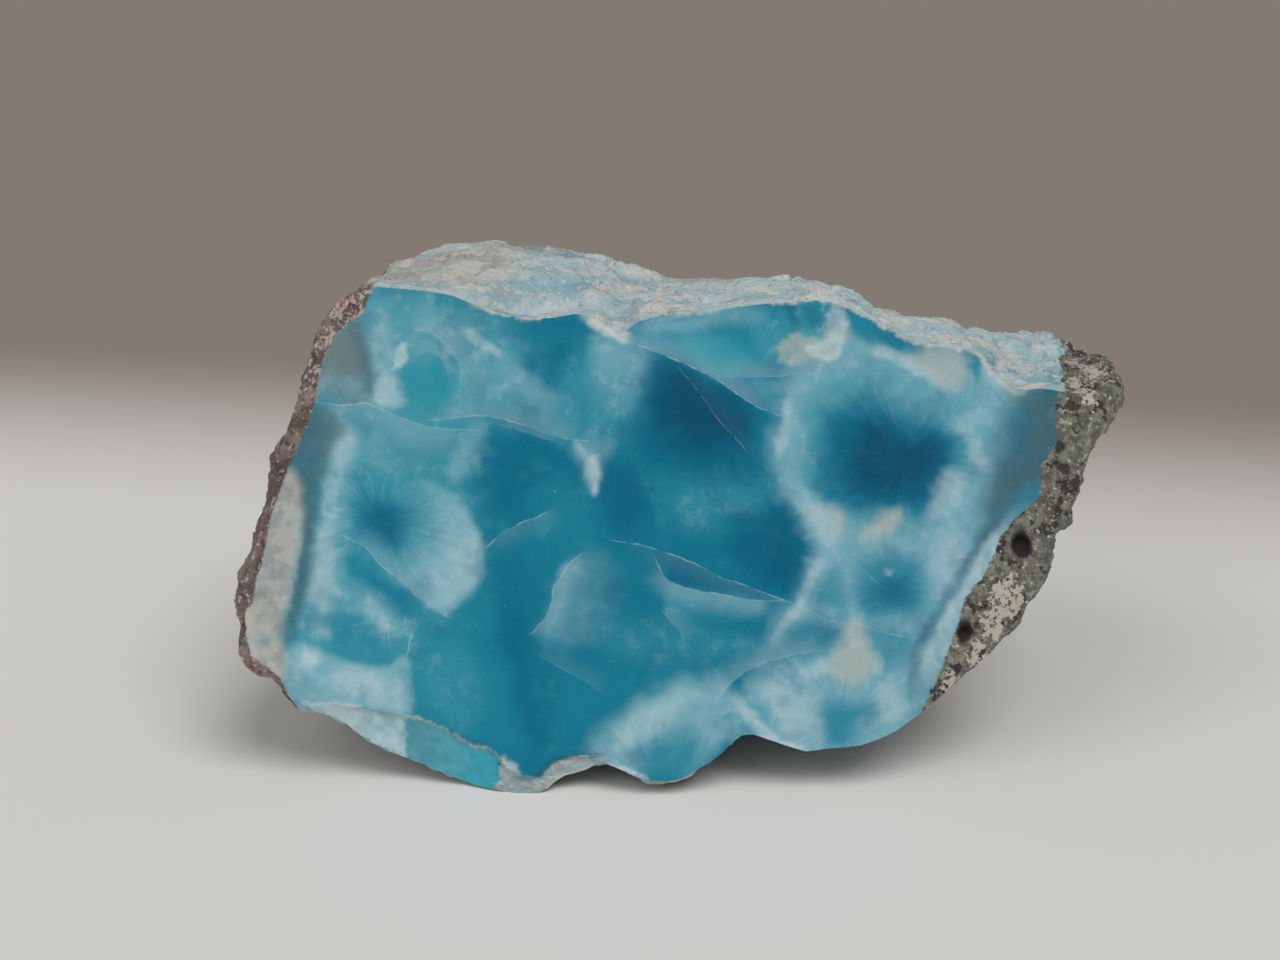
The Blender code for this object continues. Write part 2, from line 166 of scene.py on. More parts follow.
LEFT_MARKINGS = [
    # Greenish ground of the left third, paler towards the upper left
    pool("turquoise", 3, 0.75, [
        (-33, 52), (-16, 51), (-10, 47), (-11, 42), (-16.5, 37.5), (-17.5, 31), (-16.5, 24), (-19, 17),
        (-23, 13), (-22, 7), (-38, 7), (-37, 20), (-34, 30), (-33, 40)]),
    pool("sky", 2.5, 0.3, [
        (-29, 51), (-19.4, 50.6), (-13.5, 47.6), (-9.2, 43.4), (-6.1, 37.5), (-11.8, 38.5),
        (-17.6, 39.5), (-24.5, 40), (-28.6, 40.4), (-28, 46)]),
    pool("mid", 1.8, 0.85, [
        (-12.4, 49.2), (-8, 49.4), (-4.6, 47.6), (-5.4, 44.2), (-6.8, 41), (-9.4, 41.8), (-12, 44.6),
        (-14.6, 47)]),
    pool("lagoon", 1.3, 0.85, [
        (-25, 43.2), (-23.4, 44.4), (-20.6, 44.9), (-18.9, 43.3), (-18.7, 40.9), (-20.2, 39.2),
        (-23, 39.1), (-24.7, 40.6)]),
    pool("milk", 0.25, 0.8, [
        (-25.4, 43.6), (-24.9, 44.4), (-25.3, 45.3), (-24.6, 45.7), (-24.3, 46.4), (-23.6, 46.2),
        (-23.9, 45.2), (-23.6, 44.6), (-24.5, 43.9)]),
    pool("milk", 0.7, 0.6, [
        (-27.3, 42), (-25.4, 43.4), (-24.5, 41.8), (-23.9, 40.4), (-25, 39.5), (-27.4, 39.9)]),
    streak("milk", 0.5, 1.8, 0.35, [(-27.6, 49), (-26.4, 46.4), (-26.8, 43.6), (-27.8, 41)]),
    pool("milk", 1.6, 0.12, [
        (-22.5, 49.8), (-19.9, 49.1), (-16.6, 47), (-17.4, 45.5), (-20.4, 46.5), (-22.5, 48.1)]),
    streak("milk", 0.15, 0.55, 0.6, [(-18.6, 48.2), (-16.6, 46.6), (-15.4, 45.8), (-13.9, 44.3)]),
    streak("sky", 0.6, 1.8, 0.45, [(-15.9, 44.5), (-11, 41.5), (-7, 39)]),
    # Ground between the long crack and the disc
    pool("sky", 1.6, 0.4, [
        (-33, 39.6), (-28.5, 39.4), (-24, 38), (-19.5, 37), (-20, 34.4), (-25, 33.6), (-30, 33.4),
        (-33.6, 34.6)]),
    pool("teal", 1.8, 0.55, [
        (-25.6, 36.8), (-21.6, 37), (-18.8, 36.2), (-19.2, 34), (-23, 33.4), (-26, 34.6)]),
    streak("sky", 0.1, 1.8, 0.6, [
        (-15.8, 38.8), (-17, 36.7), (-17.2, 35.1), (-18.6, 33.5), (-19.4, 31.5)]),
    # Big pale disc of fibres round a dark core
    pool("sky", 0.5, 0.85, [
        (-24.5, 32), (-21.5, 32), (-18.9, 31), (-17.1, 28.8), (-16.1, 25.6), (-16.3, 22.5),
        (-17.4, 20.1), (-19.6, 18.2), (-22.5, 19.9), (-24.9, 22.2), (-27.4, 24.4), (-28.6, 27.3),
        (-27.4, 30.2)], ((-18.6, 24.6), (-28.4, 28.4))),
    pool("milk", 0.7, 0.4, [
        (-19.9, 31), (-17.6, 28.6), (-16.5, 25.4), (-16.9, 21.9), (-19.6, 18.6), (-21.6, 20.5),
        (-21.5, 25.6)], ((-17, 24), (-22.6, 26))),
    pool("teal", 2.4, 0.7, [
        (-29.6, 30.7), (-25.6, 31.6), (-22.5, 29.6), (-21.8, 26.5), (-24.3, 23.5), (-28.1, 25),
        (-30.2, 27.1)]),
    pool("blue", 1.7, 0.85, [
        (-27.6, 29.8), (-26, 30.2), (-24.6, 28.8), (-24.3, 26.8), (-25.4, 25.2), (-27, 25.8),
        (-28.2, 27.6)]),
    pool("teal", 0.9, 0.9, [
        (-30.4, 25), (-27.6, 23.8), (-25.1, 21.4), (-22.9, 19.5), (-23.6, 18.2), (-26.6, 18.8),
        (-29.4, 20.8)]),
    pool("mid", 0.8, 0.45, [(-27.8, 23.4), (-25.1, 21.3), (-22.9, 19.5), (-24.8, 19.6), (-27, 21.2)]),
    pool("teal", 1.6, 0.5, [
        (-32.2, 18.9), (-30.2, 19.3), (-27.8, 17.7), (-25.6, 15.9), (-24.5, 14), (-27.6, 13),
        (-30.7, 13.6), (-32.2, 15)]),
    streak("sky", 0.6, 1.8, 0.65, [(-31.2, 22.4), (-28.9, 20.2), (-26.4, 18.4), (-23.4, 16.2)]),
    streak("milk", 0.2, 1, 0.35, [(-29.4, 20.4), (-26.4, 18.2), (-23.9, 16.4)]),
    pool("sky", 0.45, 0.9, [
        (-36, 15.8), (-33.1, 14.9), (-30.1, 13.6), (-26.4, 12.8), (-23.6, 14.8), (-23.2, 12),
        (-23.1, 7.6), (-26.6, 7.4), (-31.7, 8.4), (-36, 8.5), (-37, 12.6)]),
    pool("milk", 1.2, 0.55, [
        (-31.6, 12.8), (-27, 12.4), (-23.9, 11.6), (-23.6, 9.2), (-27, 9.4), (-30.8, 10.6)]),
    pool("milk", 0.8, 0.8, [(-35.1, 15.6), (-33.5, 15), (-32.6, 13.4), (-34.4, 13)]),
    pool("milk", 0.8, 0.5, [(-33.1, 17.7), (-31.4, 17.2), (-31.6, 16.2), (-33, 16.2)]),
    # Cottony pale growth along the inner side of the selvage
    streak("sky", 0.8, 2, 0.65, [
        (-29.6, 39.6), (-30.8, 36.4), (-31.2, 33), (-31.6, 29.6), (-31.6, 25.4), (-32.6, 21.2),
        (-33.8, 17.6), (-34.8, 14)]),
    pool("milk", 0.9, 0.35, [
        (-30.6, 38.4), (-28.6, 37.6), (-28.4, 34.8), (-29.8, 33), (-31.6, 34.2), (-31.8, 36.6)]),
    pool("milk", 0.8, 0.4, [
        (-33.2, 23.6), (-31.4, 22.8), (-30.8, 20.2), (-32, 18.6), (-33.8, 19.4), (-34.2, 21.6)]),
    streak("milk", 0.3, 1.2, 0.4, [
        (-31, 37.4), (-31.2, 33.8), (-31.9, 29.8), (-31.9, 26), (-32.4, 22.2), (-33.4, 18.8)]),
    # Dusky selvage and the clear grey strip inside the rind
    pool("slate", 0.8, 0.9, [
        (-30.7, 47.5), (-29, 48.4), (-27.8, 46.7), (-27.3, 43.7), (-27.2, 41.1), (-28.1, 40.2),
        (-30.2, 40.1), (-33.9, 40.3), (-33.9, 42.1), (-33.4, 44.3), (-32.6, 46)]),
    pool("grey", 1.6, 0.2, [
        (-33, 47), (-29, 48.4), (-28, 46.7), (-28.3, 43.7), (-29.2, 41.1), (-34, 41)]),
    pool("sky", 1.2, 0.45, [(-33.4, 42.6), (-30, 43.1), (-27.6, 41.5), (-28.1, 40.2), (-33.4, 40.3)]),
    pool("slate", 1, 0.75, [
        (-34.8, 39.4), (-32.5, 39.6), (-30.2, 39.4), (-30.2, 37.4), (-31.4, 35.2), (-32.6, 33),
        (-33.2, 29.6), (-33.2, 26.2), (-33.7, 22.4), (-34.6, 19.4), (-35.6, 16.4), (-36.6, 14.4),
        (-36.8, 17.4), (-35.6, 20.4), (-35, 24.6), (-34.6, 28), (-35.8, 31.6)]),
    pool("grey", 0.7, 0.95, [
        (-38.6, 28.1), (-37.4, 30.5), (-36.3, 33.2), (-35.4, 34), (-34.8, 32.2), (-34.4, 29.6),
        (-34.6, 26.8), (-35, 24), (-35.7, 21.5), (-36.4, 19.1), (-36.8, 16.6), (-36.2, 13.6),
        (-36.8, 11), (-40.7, 13), (-41.5, 15.8), (-41.5, 18.7), (-40.5, 20.4), (-39.7, 24)]),
    pool("chalk", 1.4, 0.4, [
        (-40.3, 18.1), (-38.7, 17.7), (-37.4, 15.3), (-37, 12.8), (-38.7, 13), (-40.1, 14.3),
        (-40.6, 16.4)]),
    streak("slate", 0.3, 1.2, 0.4, [
        (-33.4, 33), (-33.9, 29), (-34.3, 25.6), (-34.9, 22.4), (-35.7, 19.4), (-36.2, 16)]),
    streak("milk", 0.2, 0.6, 0.35, [
        (-34.6, 30.6), (-34.9, 26.8), (-35.4, 23.4), (-36.2, 20.2), (-36.9, 17)]),
]

MIDDLE_MARKINGS = [
    # Milky haze under the top edge, narrowing to the white tooth
    pool("turquoise", 2, 0.55, [
        (-6.4, 46.8), (-3, 47), (1.2, 45.4), (2, 42), (0, 38.4), (-3, 35.4), (-6.4, 35.6),
        (-9.4, 37.4), (-7.6, 41.4)]),
    pool("sky", 1.5, 0.75, [
        (-5.4, 47), (-2.6, 46.8), (1.2, 45.4), (1.6, 42.8), (-0.6, 39.6), (-2.6, 37), (-4.2, 37.2),
        (-4.4, 41)], ((-1, 46), (-3.4, 36))),
    pool("teal", 2.6, 0.5, [
        (-3.6, 33.8), (-1.8, 36.8), (0.8, 34.6), (3.6, 33.6), (5.6, 30.6), (2, 29.6), (-1, 30.6)]),
    # Dark heart above the middle, and the clear blue round it
    pool("blue", 2.6, 0.85, [
        (1.8, 44.6), (4.1, 43.9), (8.2, 41.9), (12.3, 39.6), (14.1, 38.5), (13.6, 35.3), (12, 32.7),
        (8.2, 32.2), (4.2, 32.8), (0.1, 34.3), (-0.9, 37.3), (0.5, 41.4)]),
    pool("deep", 2.3, 0.95, [
        (2.9, 44), (5.1, 43.3), (7.7, 41.9), (10.7, 40.4), (12.2, 38.3), (10.7, 36.2), (7.7, 35.2),
        (4.6, 35.8), (2.3, 38.3), (2, 40.9)]),
    pool("teal", 1.6, 0.55, [(12.3, 40), (14.6, 39), (14.4, 35.3), (13.3, 33.2), (12, 35), (12, 38)]),
    pool("turquoise", 2.4, 0.5, [
        (3.8, 31.4), (8.1, 32), (12.2, 32.2), (13.5, 31), (12.2, 28.6), (8.4, 27.2), (4, 28),
        (2.2, 29.6)]),
    pool("blue", 1.8, 0.8, [
        (-3.9, 33.7), (-2, 34.8), (0.5, 32.8), (1, 30), (0.2, 27.6), (-1.9, 26.9), (-3.5, 28.4),
        (-4.1, 30.7)]),
    # Left of the middle: the tooth, the blue under it and the jagged white vein
    pool("teal", 2.4, 0.6, [
        (-11.6, 33), (-8, 33.4), (-5.6, 31.6), (-4.6, 28.4), (-6.2, 25.4), (-9, 26.6), (-11.4, 29.4)]),
    pool("blue", 1.6, 0.45, [
        (-16.4, 36.1), (-13.3, 37.3), (-8.2, 35.8), (-6.3, 34.3), (-7.4, 32.4), (-10.2, 32.2),
        (-12.8, 30), (-14.6, 28.4), (-16.2, 30.6), (-16.9, 33.2)]),
    pool("teal", 0.5, 0.55, [
        (-15.3, 25.4), (-13.9, 27.1), (-11.8, 28.1), (-9.6, 28.9), (-8.2, 29.7), (-5.1, 28.6),
        (-4.1, 25.6), (-7.2, 23.8), (-9, 21), (-9.7, 17.9), (-11.2, 16.4), (-13.8, 17.9),
        (-15.5, 21)], ((-9.6, 28.6), (-11.4, 18.4))),
    pool("teal", 1.8, 0.85, [
        (-23.2, 15.4), (-20.4, 17.8), (-16.6, 20.3), (-14.9, 17.9), (-13.7, 13.8), (-12.9, 9.7),
        (-11.2, 5.6), (-13.3, 3.9), (-17.4, 5.1), (-21.5, 7.2), (-23.7, 8), (-23.5, 11.8)]),
    pool("turquoise", 2, 0.45, [
        (-22.6, 14.4), (-19.6, 16.4), (-17.2, 14.8), (-16.4, 10), (-17.6, 6.8), (-22, 8.4)]),
    pool("blue", 1.7, 0.45, [
        (-14.4, 19.6), (-12.5, 19.3), (-10.8, 14.8), (-10, 8.7), (-10.3, 4.6), (-12.1, 5.1),
        (-12.5, 10.7), (-13.8, 15.8)]),
    pool("teal", 2.4, 0.55, [
        (-9.4, 12.6), (-3.6, 13), (3.4, 13.6), (9.4, 14.4), (8.6, 11.4), (3.2, 11.4), (-1.8, 9.2),
        (-6.2, 6), (-9.6, 5)]),
    pool("sky", 1.3, 0.4, [
        (-5.9, 24.7), (-7.5, 23.5), (-8.2, 22), (-8.9, 21.4), (-8.9, 20), (-9.6, 18.1), (-11, 16.6),
        (-8, 15.2), (-3.4, 16.2), (-0.4, 19.6), (-1, 23), (-3.5, 25)], ((-8.6, 20), (0.2, 19))),
    streak("sky", 0.2, 0.9, 0.45, [
        (-5.7, 24.6), (-7.2, 23.3), (-7.9, 21.9), (-8.6, 20.6), (-9.2, 18), (-10.6, 16.6)]),
    pool("turquoise", 2, 0.4, [
        (-5.1, 16.2), (1.1, 17.6), (8.3, 16.6), (12.2, 15.4), (8.2, 13.4), (0, 13.6)]),
    pool("sky", 0.9, 0.55, [
        (-7.6, 36.1), (-5.4, 36.4), (-2.5, 36.5), (-3.5, 34.7), (-4.1, 32.8), (-4.9, 32),
        (-5.9, 33.4)]),
    pool("milk", 0.45, 0.95, [
        (-5.6, 33.2), (-5.2, 34.6), (-4.7, 34.8), (-4.1, 33.6), (-4.2, 32.2), (-4.7, 30.4),
        (-5.2, 31.6)]),
    streak("milk", 0.1, 0.5, 0.35, [(-7, 36.4), (-5.4, 34.6), (-4.8, 32.4)]),
    # Right of the middle: the dark pool left of the vein, and the wedge below its crack
    pool("blue", 2, 0.9, [
        (10, 28.7), (13.3, 30), (15.8, 30.2), (17, 27.1), (17.5, 24), (16.8, 21), (14.3, 20.6),
        (11.2, 21.9), (9.5, 24.2), (9.4, 27.1)]),
    pool("deep", 1.8, 0.35, [(12.8, 27.9), (16.2, 26.8), (16.8, 23), (14.3, 22), (12.7, 24)]),
    pool("blue", 0.6, 0.75, [
        (1.5, 25.3), (5.1, 24.2), (8.2, 22.4), (12.3, 21), (8.2, 20.6), (5.1, 21), (2.6, 21.8)]),
    pool("turquoise", 0.7, 0.6, [
        (2.7, 21.8), (5.7, 20.9), (9.7, 20.4), (12.6, 19.9), (12.2, 18.1), (7.1, 17),
        (2.5, 17.7)], ((6, 20.8), (6.4, 16.4))),
    # Lobe at the foot, with a haze of upright fibres
    pool("sky", 1.4, 0.9, [
        (-5.7, 4), (-3.5, 6.8), (0, 9.7), (3.1, 11.3), (6.1, 12.1), (9.1, 12), (8.8, 9.6), (7.7, 7.8),
        (8.6, 5.6), (7, 3.6), (5.1, 2.4), (1, 2), (-2.6, 2.7)]),
    pool("milk", 1.6, 0.4, [
        (-3.9, 4.4), (-1.7, 7), (1.4, 9.1), (4.6, 10.4), (5, 8.6), (0.6, 6.4), (-1.7, 4)]),
    pool("teal", 1.5, 0.85, [
        (0, 4.4), (1.5, 5.8), (4.3, 6.6), (6.3, 5.8), (6.1, 3.6), (4.1, 1), (1.5, 0.8), (0.2, 2.2)]),
    pool("sky", 0.8, 0.6, [(7.4, 10.6), (9, 11), (10.4, 9.2), (10.6, 5.2), (8.6, 5), (7.2, 7.6)]),
    pool("milk", 0.3, 0.5, [(-4.7, 3.2), (-2.5, 3.6), (1, 1.5), (0.5, 1), (-2.6, 2.2)]),
    # Painted light: a thin pale line where light shines through the lobe's thin bottom edge
    streak("frost", 0.06, 0.3, 0.6, [(-3.4, 3.2), (-1.4, 2.4), (0.6, 1.6)]),
]

LENS_MARKINGS = [
    # Green lens under the notch in the top edge
    pool("teal", 0.5, 0.9, [
        (-2.2, 48), (1.5, 48.8), (6.1, 49.4), (10.2, 50.4), (15.4, 50.4), (15.5, 46), (14.1, 43.5),
        (9.7, 43), (7.2, 43.5), (5.1, 44.3), (2.6, 45.5), (0.2, 46.7)]),
    pool("sky", 0.9, 0.5, [
        (0, 48), (6.1, 49.8), (12.3, 50.6), (13.5, 48.8), (9.2, 48), (5.1, 47.6), (2, 47.3)]),
    pool("lagoon", 1.3, 0.8, [
        (3.5, 46.2), (7.2, 47.1), (11.5, 46.6), (12.4, 44.6), (9.7, 43.1), (6.1, 43.7)]),
    pool("turquoise", 1.2, 0.6, [(11, 49.4), (15.5, 49.6), (15.1, 46.2), (13.5, 44.5), (12.1, 46.5)]),
    pool("teal", 0.8, 0.5, [
        (7.2, 43), (12.3, 42.9), (15.6, 42.8), (14.8, 40.6), (13.8, 39.4), (10.7, 41)]),
]

RIGHT_MARKINGS = [
    # Pale fibrous ground of the right third
    pool("sky", 1.6, 0.85, [
        (15.3, 47), (21.5, 48.5), (29.1, 46.3), (36.8, 42.9), (42.4, 40.9), (39.8, 36.3), (37.8, 32.2),
        (36.3, 28.1), (34.7, 24), (32.2, 18.9), (30.1, 13.8), (28.8, 5.7), (22.5, 3), (17.4, 3),
        (12.3, 3.8), (9, 7.2), (11.3, 11.6), (14.1, 15.4), (16.5, 19.5), (18.2, 23.6), (18, 27.1),
        (15.8, 30.2), (14.5, 33.2), (14.9, 37.8), (15.1, 41.4)]),
    pool("turquoise", 2.4, 0.55, [
        (16.4, 41.9), (20.5, 42.4), (24.6, 41.6), (22, 38.3), (19.4, 33.2), (19.9, 29.7), (18.9, 28.1),
        (16.8, 30.2), (15.9, 33.2)]),
    pool("turquoise", 2.4, 0.45, [
        (22.6, 44), (29.4, 44), (34.4, 41.4), (36, 37.4), (33.6, 36.4), (28.6, 38.4), (24.4, 40.8)]),
    # Dark flower of fibres
    pool("teal", 2.2, 0.9, [
        (19.2, 40.5), (23.3, 41.4), (26.4, 39.4), (29.1, 38.7), (32.3, 37.7), (33.8, 35.8),
        (33.3, 33.3), (31.8, 31.1), (31.1, 29.1), (29.1, 27.4), (26.1, 28), (23.5, 28.5), (20.9, 28.5),
        (18.7, 29.7), (17.6, 32.1), (17.4, 35.3), (18, 38.3)]),
    pool("blue", 1.9, 0.9, [
        (19.4, 38.8), (22.5, 40.2), (24.8, 39.2), (26.5, 37.6), (29.5, 37.4), (31.8, 36.4),
        (32.4, 34.6), (31.2, 32.4), (30.3, 30.2), (28.6, 28.8), (26.2, 29.1), (23.6, 29.3),
        (20.8, 29.6), (19, 31.2), (18.4, 33.6), (18.8, 36.4)]),
    pool("deep", 1.9, 0.9, [
        (22.2, 38.8), (24.6, 38.2), (26.4, 36.6), (29.3, 36.6), (31, 35.5), (30.4, 33.4), (28.4, 31),
        (25, 30.4), (22.6, 31), (21.4, 33), (22, 36.2)]),
    # Chips and patches under the top edge
    pool("turquoise", 0.4, 0.85, [
        (15.8, 50.2), (17.9, 50.4), (19.3, 50.4), (19.2, 48.1), (18.4, 46.9), (16.9, 47.2)]),
    pool("mid", 0.4, 0.75, [(16.9, 50), (18.6, 50.2), (18.6, 48.4), (17.6, 47.4)]),
    pool("teal", 0.5, 0.95, [
        (20.7, 50.6), (23.5, 49.4), (26.1, 47.8), (29.1, 46.3), (28.9, 45.3), (26.6, 45.5),
        (24.5, 45.9), (22, 46.8), (21.3, 48.1)]),
    pool("cream", 0.3, 0.75, [
        (14, 46), (15.3, 47), (16.9, 46.9), (18.4, 46.7), (19.8, 48), (21, 48.4), (21.1, 46.7),
        (20.6, 44.9), (19.4, 44.3), (18.2, 44.7), (16.9, 44.1), (15.3, 43.8), (14.4, 44.5)]),
    pool("milk", 0.2, 0.6, [
        (16.8, 45.7), (18.1, 46.4), (19.6, 46.9), (21, 46.9), (20.6, 45), (19.5, 44.4), (17.9, 44.9)]),
    pool("milk", 0.35, 0.7, [
        (19.3, 50), (20.7, 49.6), (21.1, 48.1), (20.8, 46.5), (19.4, 46.5), (19, 48.1)]),
    streak("milk", 0.3, 0.8, 0.6, [
        (23.3, 46.6), (25.1, 45.3), (27.6, 44), (30.7, 42.6), (32.2, 40.9)]),
    pool("cream", 1, 0.6, [
        (27.8, 45.8), (30.2, 46.4), (32.7, 45.7), (33.9, 44), (33.3, 41.8), (31.2, 41.6), (29.5, 42.9),
        (27.8, 44.3)]),
    pool("teal", 0.4, 0.85, [(33.5, 45.6), (34.6, 45.6), (34.9, 43.7), (34.5, 42.2), (33.7, 43.7)]),
    pool("milk", 0.6, 0.5, [(34.8, 45.2), (37.4, 43.6), (40.8, 41.8), (38, 40.6), (35.2, 42.4)]),
    # Small flower, the pools left of it, and the cream patches
    pool("cream", 0.7, 0.55, [
        (16.8, 29.7), (18.9, 29.9), (21, 28.6), (20.7, 27.1), (19.2, 26.1), (17.6, 27.1)]),
    pool("cream", 0.7, 0.65, [
        (22.1, 26.1), (23.5, 27.6), (25.4, 29.1), (26.9, 29.1), (26.4, 27.6), (25.1, 26.9),
        (23.3, 25.8)]),
    pool("teal", 1.5, 0.85, [
        (22.7, 24), (25.1, 25), (27.9, 24.4), (29.7, 23.6), (29.2, 20.5), (27.8, 18.3), (25.1, 17.7),
        (22.7, 18.3), (21.7, 20.8)]),
    pool("blue", 1.4, 0.75, [(24.3, 22), (27.5, 22.4), (28.1, 19.7), (25.6, 18.7), (23.3, 19.7)]),
    pool("milk", 0.4, 0.55, [(25.2, 23), (25.8, 23), (25.8, 22.5), (25.2, 22.5)]),
    pool("teal", 1.2, 0.7, [
        (18.6, 23.2), (20.2, 23.9), (21, 21), (21, 18.3), (19.4, 18.3), (17.9, 19.9)]),
    pool("mid", 1.2, 0.85, [
        (15.4, 18.9), (19.4, 17.7), (21, 17.2), (20.2, 15.3), (18.6, 14.3), (15.8, 14.4), (12.9, 13.7),
        (13.8, 16.3)]),
    pool("teal", 1.2, 0.7, [(22, 17.2), (25, 17), (28.4, 16.2), (28, 13.6), (25.4, 13.2), (23.4, 15)]),
    pool("cream", 0.9, 0.7, [
        (21, 18.2), (22.7, 17.7), (23, 15), (24.5, 13.6), (23.7, 11.8), (21.5, 11.3), (19.4, 12.3),
        (19.4, 14), (20.7, 15.3)]),
    # Foot of the right third
    pool("teal", 1.2, 0.85, [
        (18, 9.2), (20.4, 9.8), (22.3, 9.7), (24.3, 9.3), (23.5, 8.1), (22.3, 7.5), (22.3, 6.1),
        (21, 4.4), (19, 4.4), (18.2, 6.6)]),
    pool("turquoise", 1.4, 0.5, [
        (9.8, 8.4), (12.2, 9.8), (14.2, 8.6), (14.8, 6.2), (13, 5.6), (10.8, 6.4)]),
    pool("milk", 1.5, 0.5, [
        (12.8, 11.2), (16.4, 10.8), (18.2, 8.8), (17.4, 5.6), (15.3, 5.9), (13.4, 8.7)]),
    streak("milk", 0.15, 0.9, 0.75, [(8.9, 10.9), (10.4, 9.1), (12.7, 6.3), (14.6, 4.9), (17.4, 4.5)]),
    # Painted light: a thin pale line where light shines through the thin arched bottom edge
    streak("frost", 0.06, 0.3, 0.5, [(11.5, 6.3), (14.4, 5.2), (17.4, 4.4)]),
    streak("milk", 0.3, 0.9, 0.5, [(15.6, 11.6), (17.9, 12.6), (20.2, 13.4)]),
    pool("milk", 1, 0.4, [(24, 11.4), (27, 11), (27, 7), (24.4, 7.6)]),
    # Vein between the middle and the right third
    streak("sky", 0.3, 2, 0.65, [
        (15.3, 43.4), (14.9, 38.1), (14.5, 34.9), (14.3, 32.9), (15.3, 30.8), (17.3, 29.1),
        (18.7, 26.2), (18.9, 24.1), (17.5, 21.8), (16.3, 19.6), (14.5, 16.9), (12.7, 14.3),
        (10.2, 12.2)]),
    streak("milk", 0.1, 0.8, 0.55, [(15.4, 42.4), (14.9, 38.1), (14.4, 34.9), (14.3, 33.2)]),
    streak("milk", 0.15, 0.7, 0.45, [(18.7, 25), (17.4, 21.6), (15.9, 18.9), (13.6, 15.6)]),
    pool("milk", 1.2, 0.4, [(16, 31.2), (18.2, 30.2), (20.6, 27.2), (19.2, 24.8), (17.4, 27)]),
    # Selvages beside the basalt
    pool("slate", 2.2, 0.95, [
        (38.1, 42.2), (45.4, 42.2), (44.2, 36.3), (42.4, 33.7), (41.9, 31.9), (38.4, 30.2),
        (36.4, 28.1), (35.2, 26.1), (35, 28.6), (35.7, 31.2), (36, 33.7), (36.8, 36.3), (38, 38.9)]),
    pool("mid", 1.6, 0.45, [(36.6, 39.8), (40, 41), (40.6, 37.4), (38.8, 33.6), (37, 35)]),
    streak("milk", 0.2, 0.9, 0.5, [(33.5, 37.6), (34.1, 35.8), (34.5, 34.6), (35.3, 33)]),
    streak("milk", 0.3, 1, 0.4, [(31.8, 37.3), (34.3, 38.3), (36, 39.4)]),
    streak("milk", 0.5, 1.5, 0.5, [(30.9, 27.1), (31.2, 31.2), (33.1, 33.6)]),
    pool("milk", 1, 0.35, [(30, 26.6), (33, 27.6), (33.6, 23.6), (30.6, 19.6), (29.8, 23)]),
    streak("steel", 0.3, 0.9, 0.75, [
        (40.4, 32), (37.3, 30.5), (36, 28), (34.7, 25.6), (33.3, 23.2), (31.7, 20.8), (30.7, 18.7),
        (29.1, 16.2), (28.3, 12.8), (28.1, 9.3), (27.1, 6.1)]),
    streak("milk", 0.7, 1.1, 0.7, [
        (40.5, 30), (37.5, 26.9), (36.1, 25.1), (34.9, 22.6), (33.5, 20.4), (32.3, 18.9), (31.3, 16.5),
        (30.5, 14.5), (29.4, 11.6), (28.8, 9.3)]),
]

# Chipped facet at the foot of the left third
FACET = [
    (-34.8, 9.5), (-30.1, 9), (-26.7, 8.3), (-23.9, 7.8), (-24.4, 3), (-27.6, 4.8), (-31.7, 7.2),
]
FOOT_MARKINGS = [
    # Chipped facet, its white rim, and the rough nub at its end. The facet and the bevel beside it are
    # painted pale frost and aqua over their blue: painted light shining through the thin chip.
    pool("frost", 0.25, 0.9, FACET),
    pool("lit_through_aqua", 0.25, 0.22, FACET),
    pool("lit_through_aqua", 0.2, 0.95, [
        (-24.2, 7.9), (-21.2, 7.3), (-19.3, 6), (-16.9, 4.8), (-15.7, 4.6), (-14.5, 3.6), (-14.4, 1.3),
        (-15.3, 0), (-18.9, 0.6), (-24.2, 2.8)]),
    pool("sky", 0.6, 0.45, [
        (-24.2, 7.9), (-21.2, 7.3), (-18.3, 5.6), (-16.9, 2.8), (-18.9, 0.6),
        (-24.2, 2.8)], ((-24, 5), (-13, 1))),
    pool("milk", 0.2, 0.5, [
        (-34.5, 9.6), (-30.1, 9.1), (-28, 8.5), (-27.8, 6.9), (-28.8, 5.8), (-31.7, 7.2)]),
    pool("chalk", 0.3, 0.9, [
        (-14.1, 3.8), (-13.1, 2), (-10.2, 1.5), (-9, 2.8), (-7.2, 3.6), (-3.7, 3.9), (-4.1, 2.6),
        (-8.2, 0.8), (-9.7, -0.8), (-14.3, -0.8), (-15.3, 0.3), (-14.3, 1.2)]),
    pool("mid", 0.4, 0.6, [(-14.1, 4.3), (-9.7, 4.4), (-9.2, 3.1), (-10.4, 1.9), (-12.3, 2.4)]),
    pool("blush", 0.8, 0.2, [(-9.6, 1.6), (-7.4, 3.2), (-4.6, 3.4), (-6.6, 1.4), (-9, 0.2)]),
    streak("milk", 0.3, 0.5, 0.8, [(-12.6, 0.6), (-9.6, 0.9), (-7.6, 2.6), (-4.4, 3.4)]),
    pool("milk", 0.2, 0.7, [(-13.9, 3.8), (-12.7, 3.2), (-12.1, 1.9), (-12.9, 1.4), (-13.7, 2.4)]),
    streak("chalk", 0.05, 0.2, 0.7, [
        (-34.5, 9.6), (-30.1, 9.2), (-26.7, 8.5), (-23.9, 8), (-21.2, 7.5), (-19.3, 6.2), (-16.9, 5),
        (-15.7, 4.9), (-14.3, 3.8), (-14.2, 2.7), (-14.3, 1.2), (-15.2, 0.6)]),
]

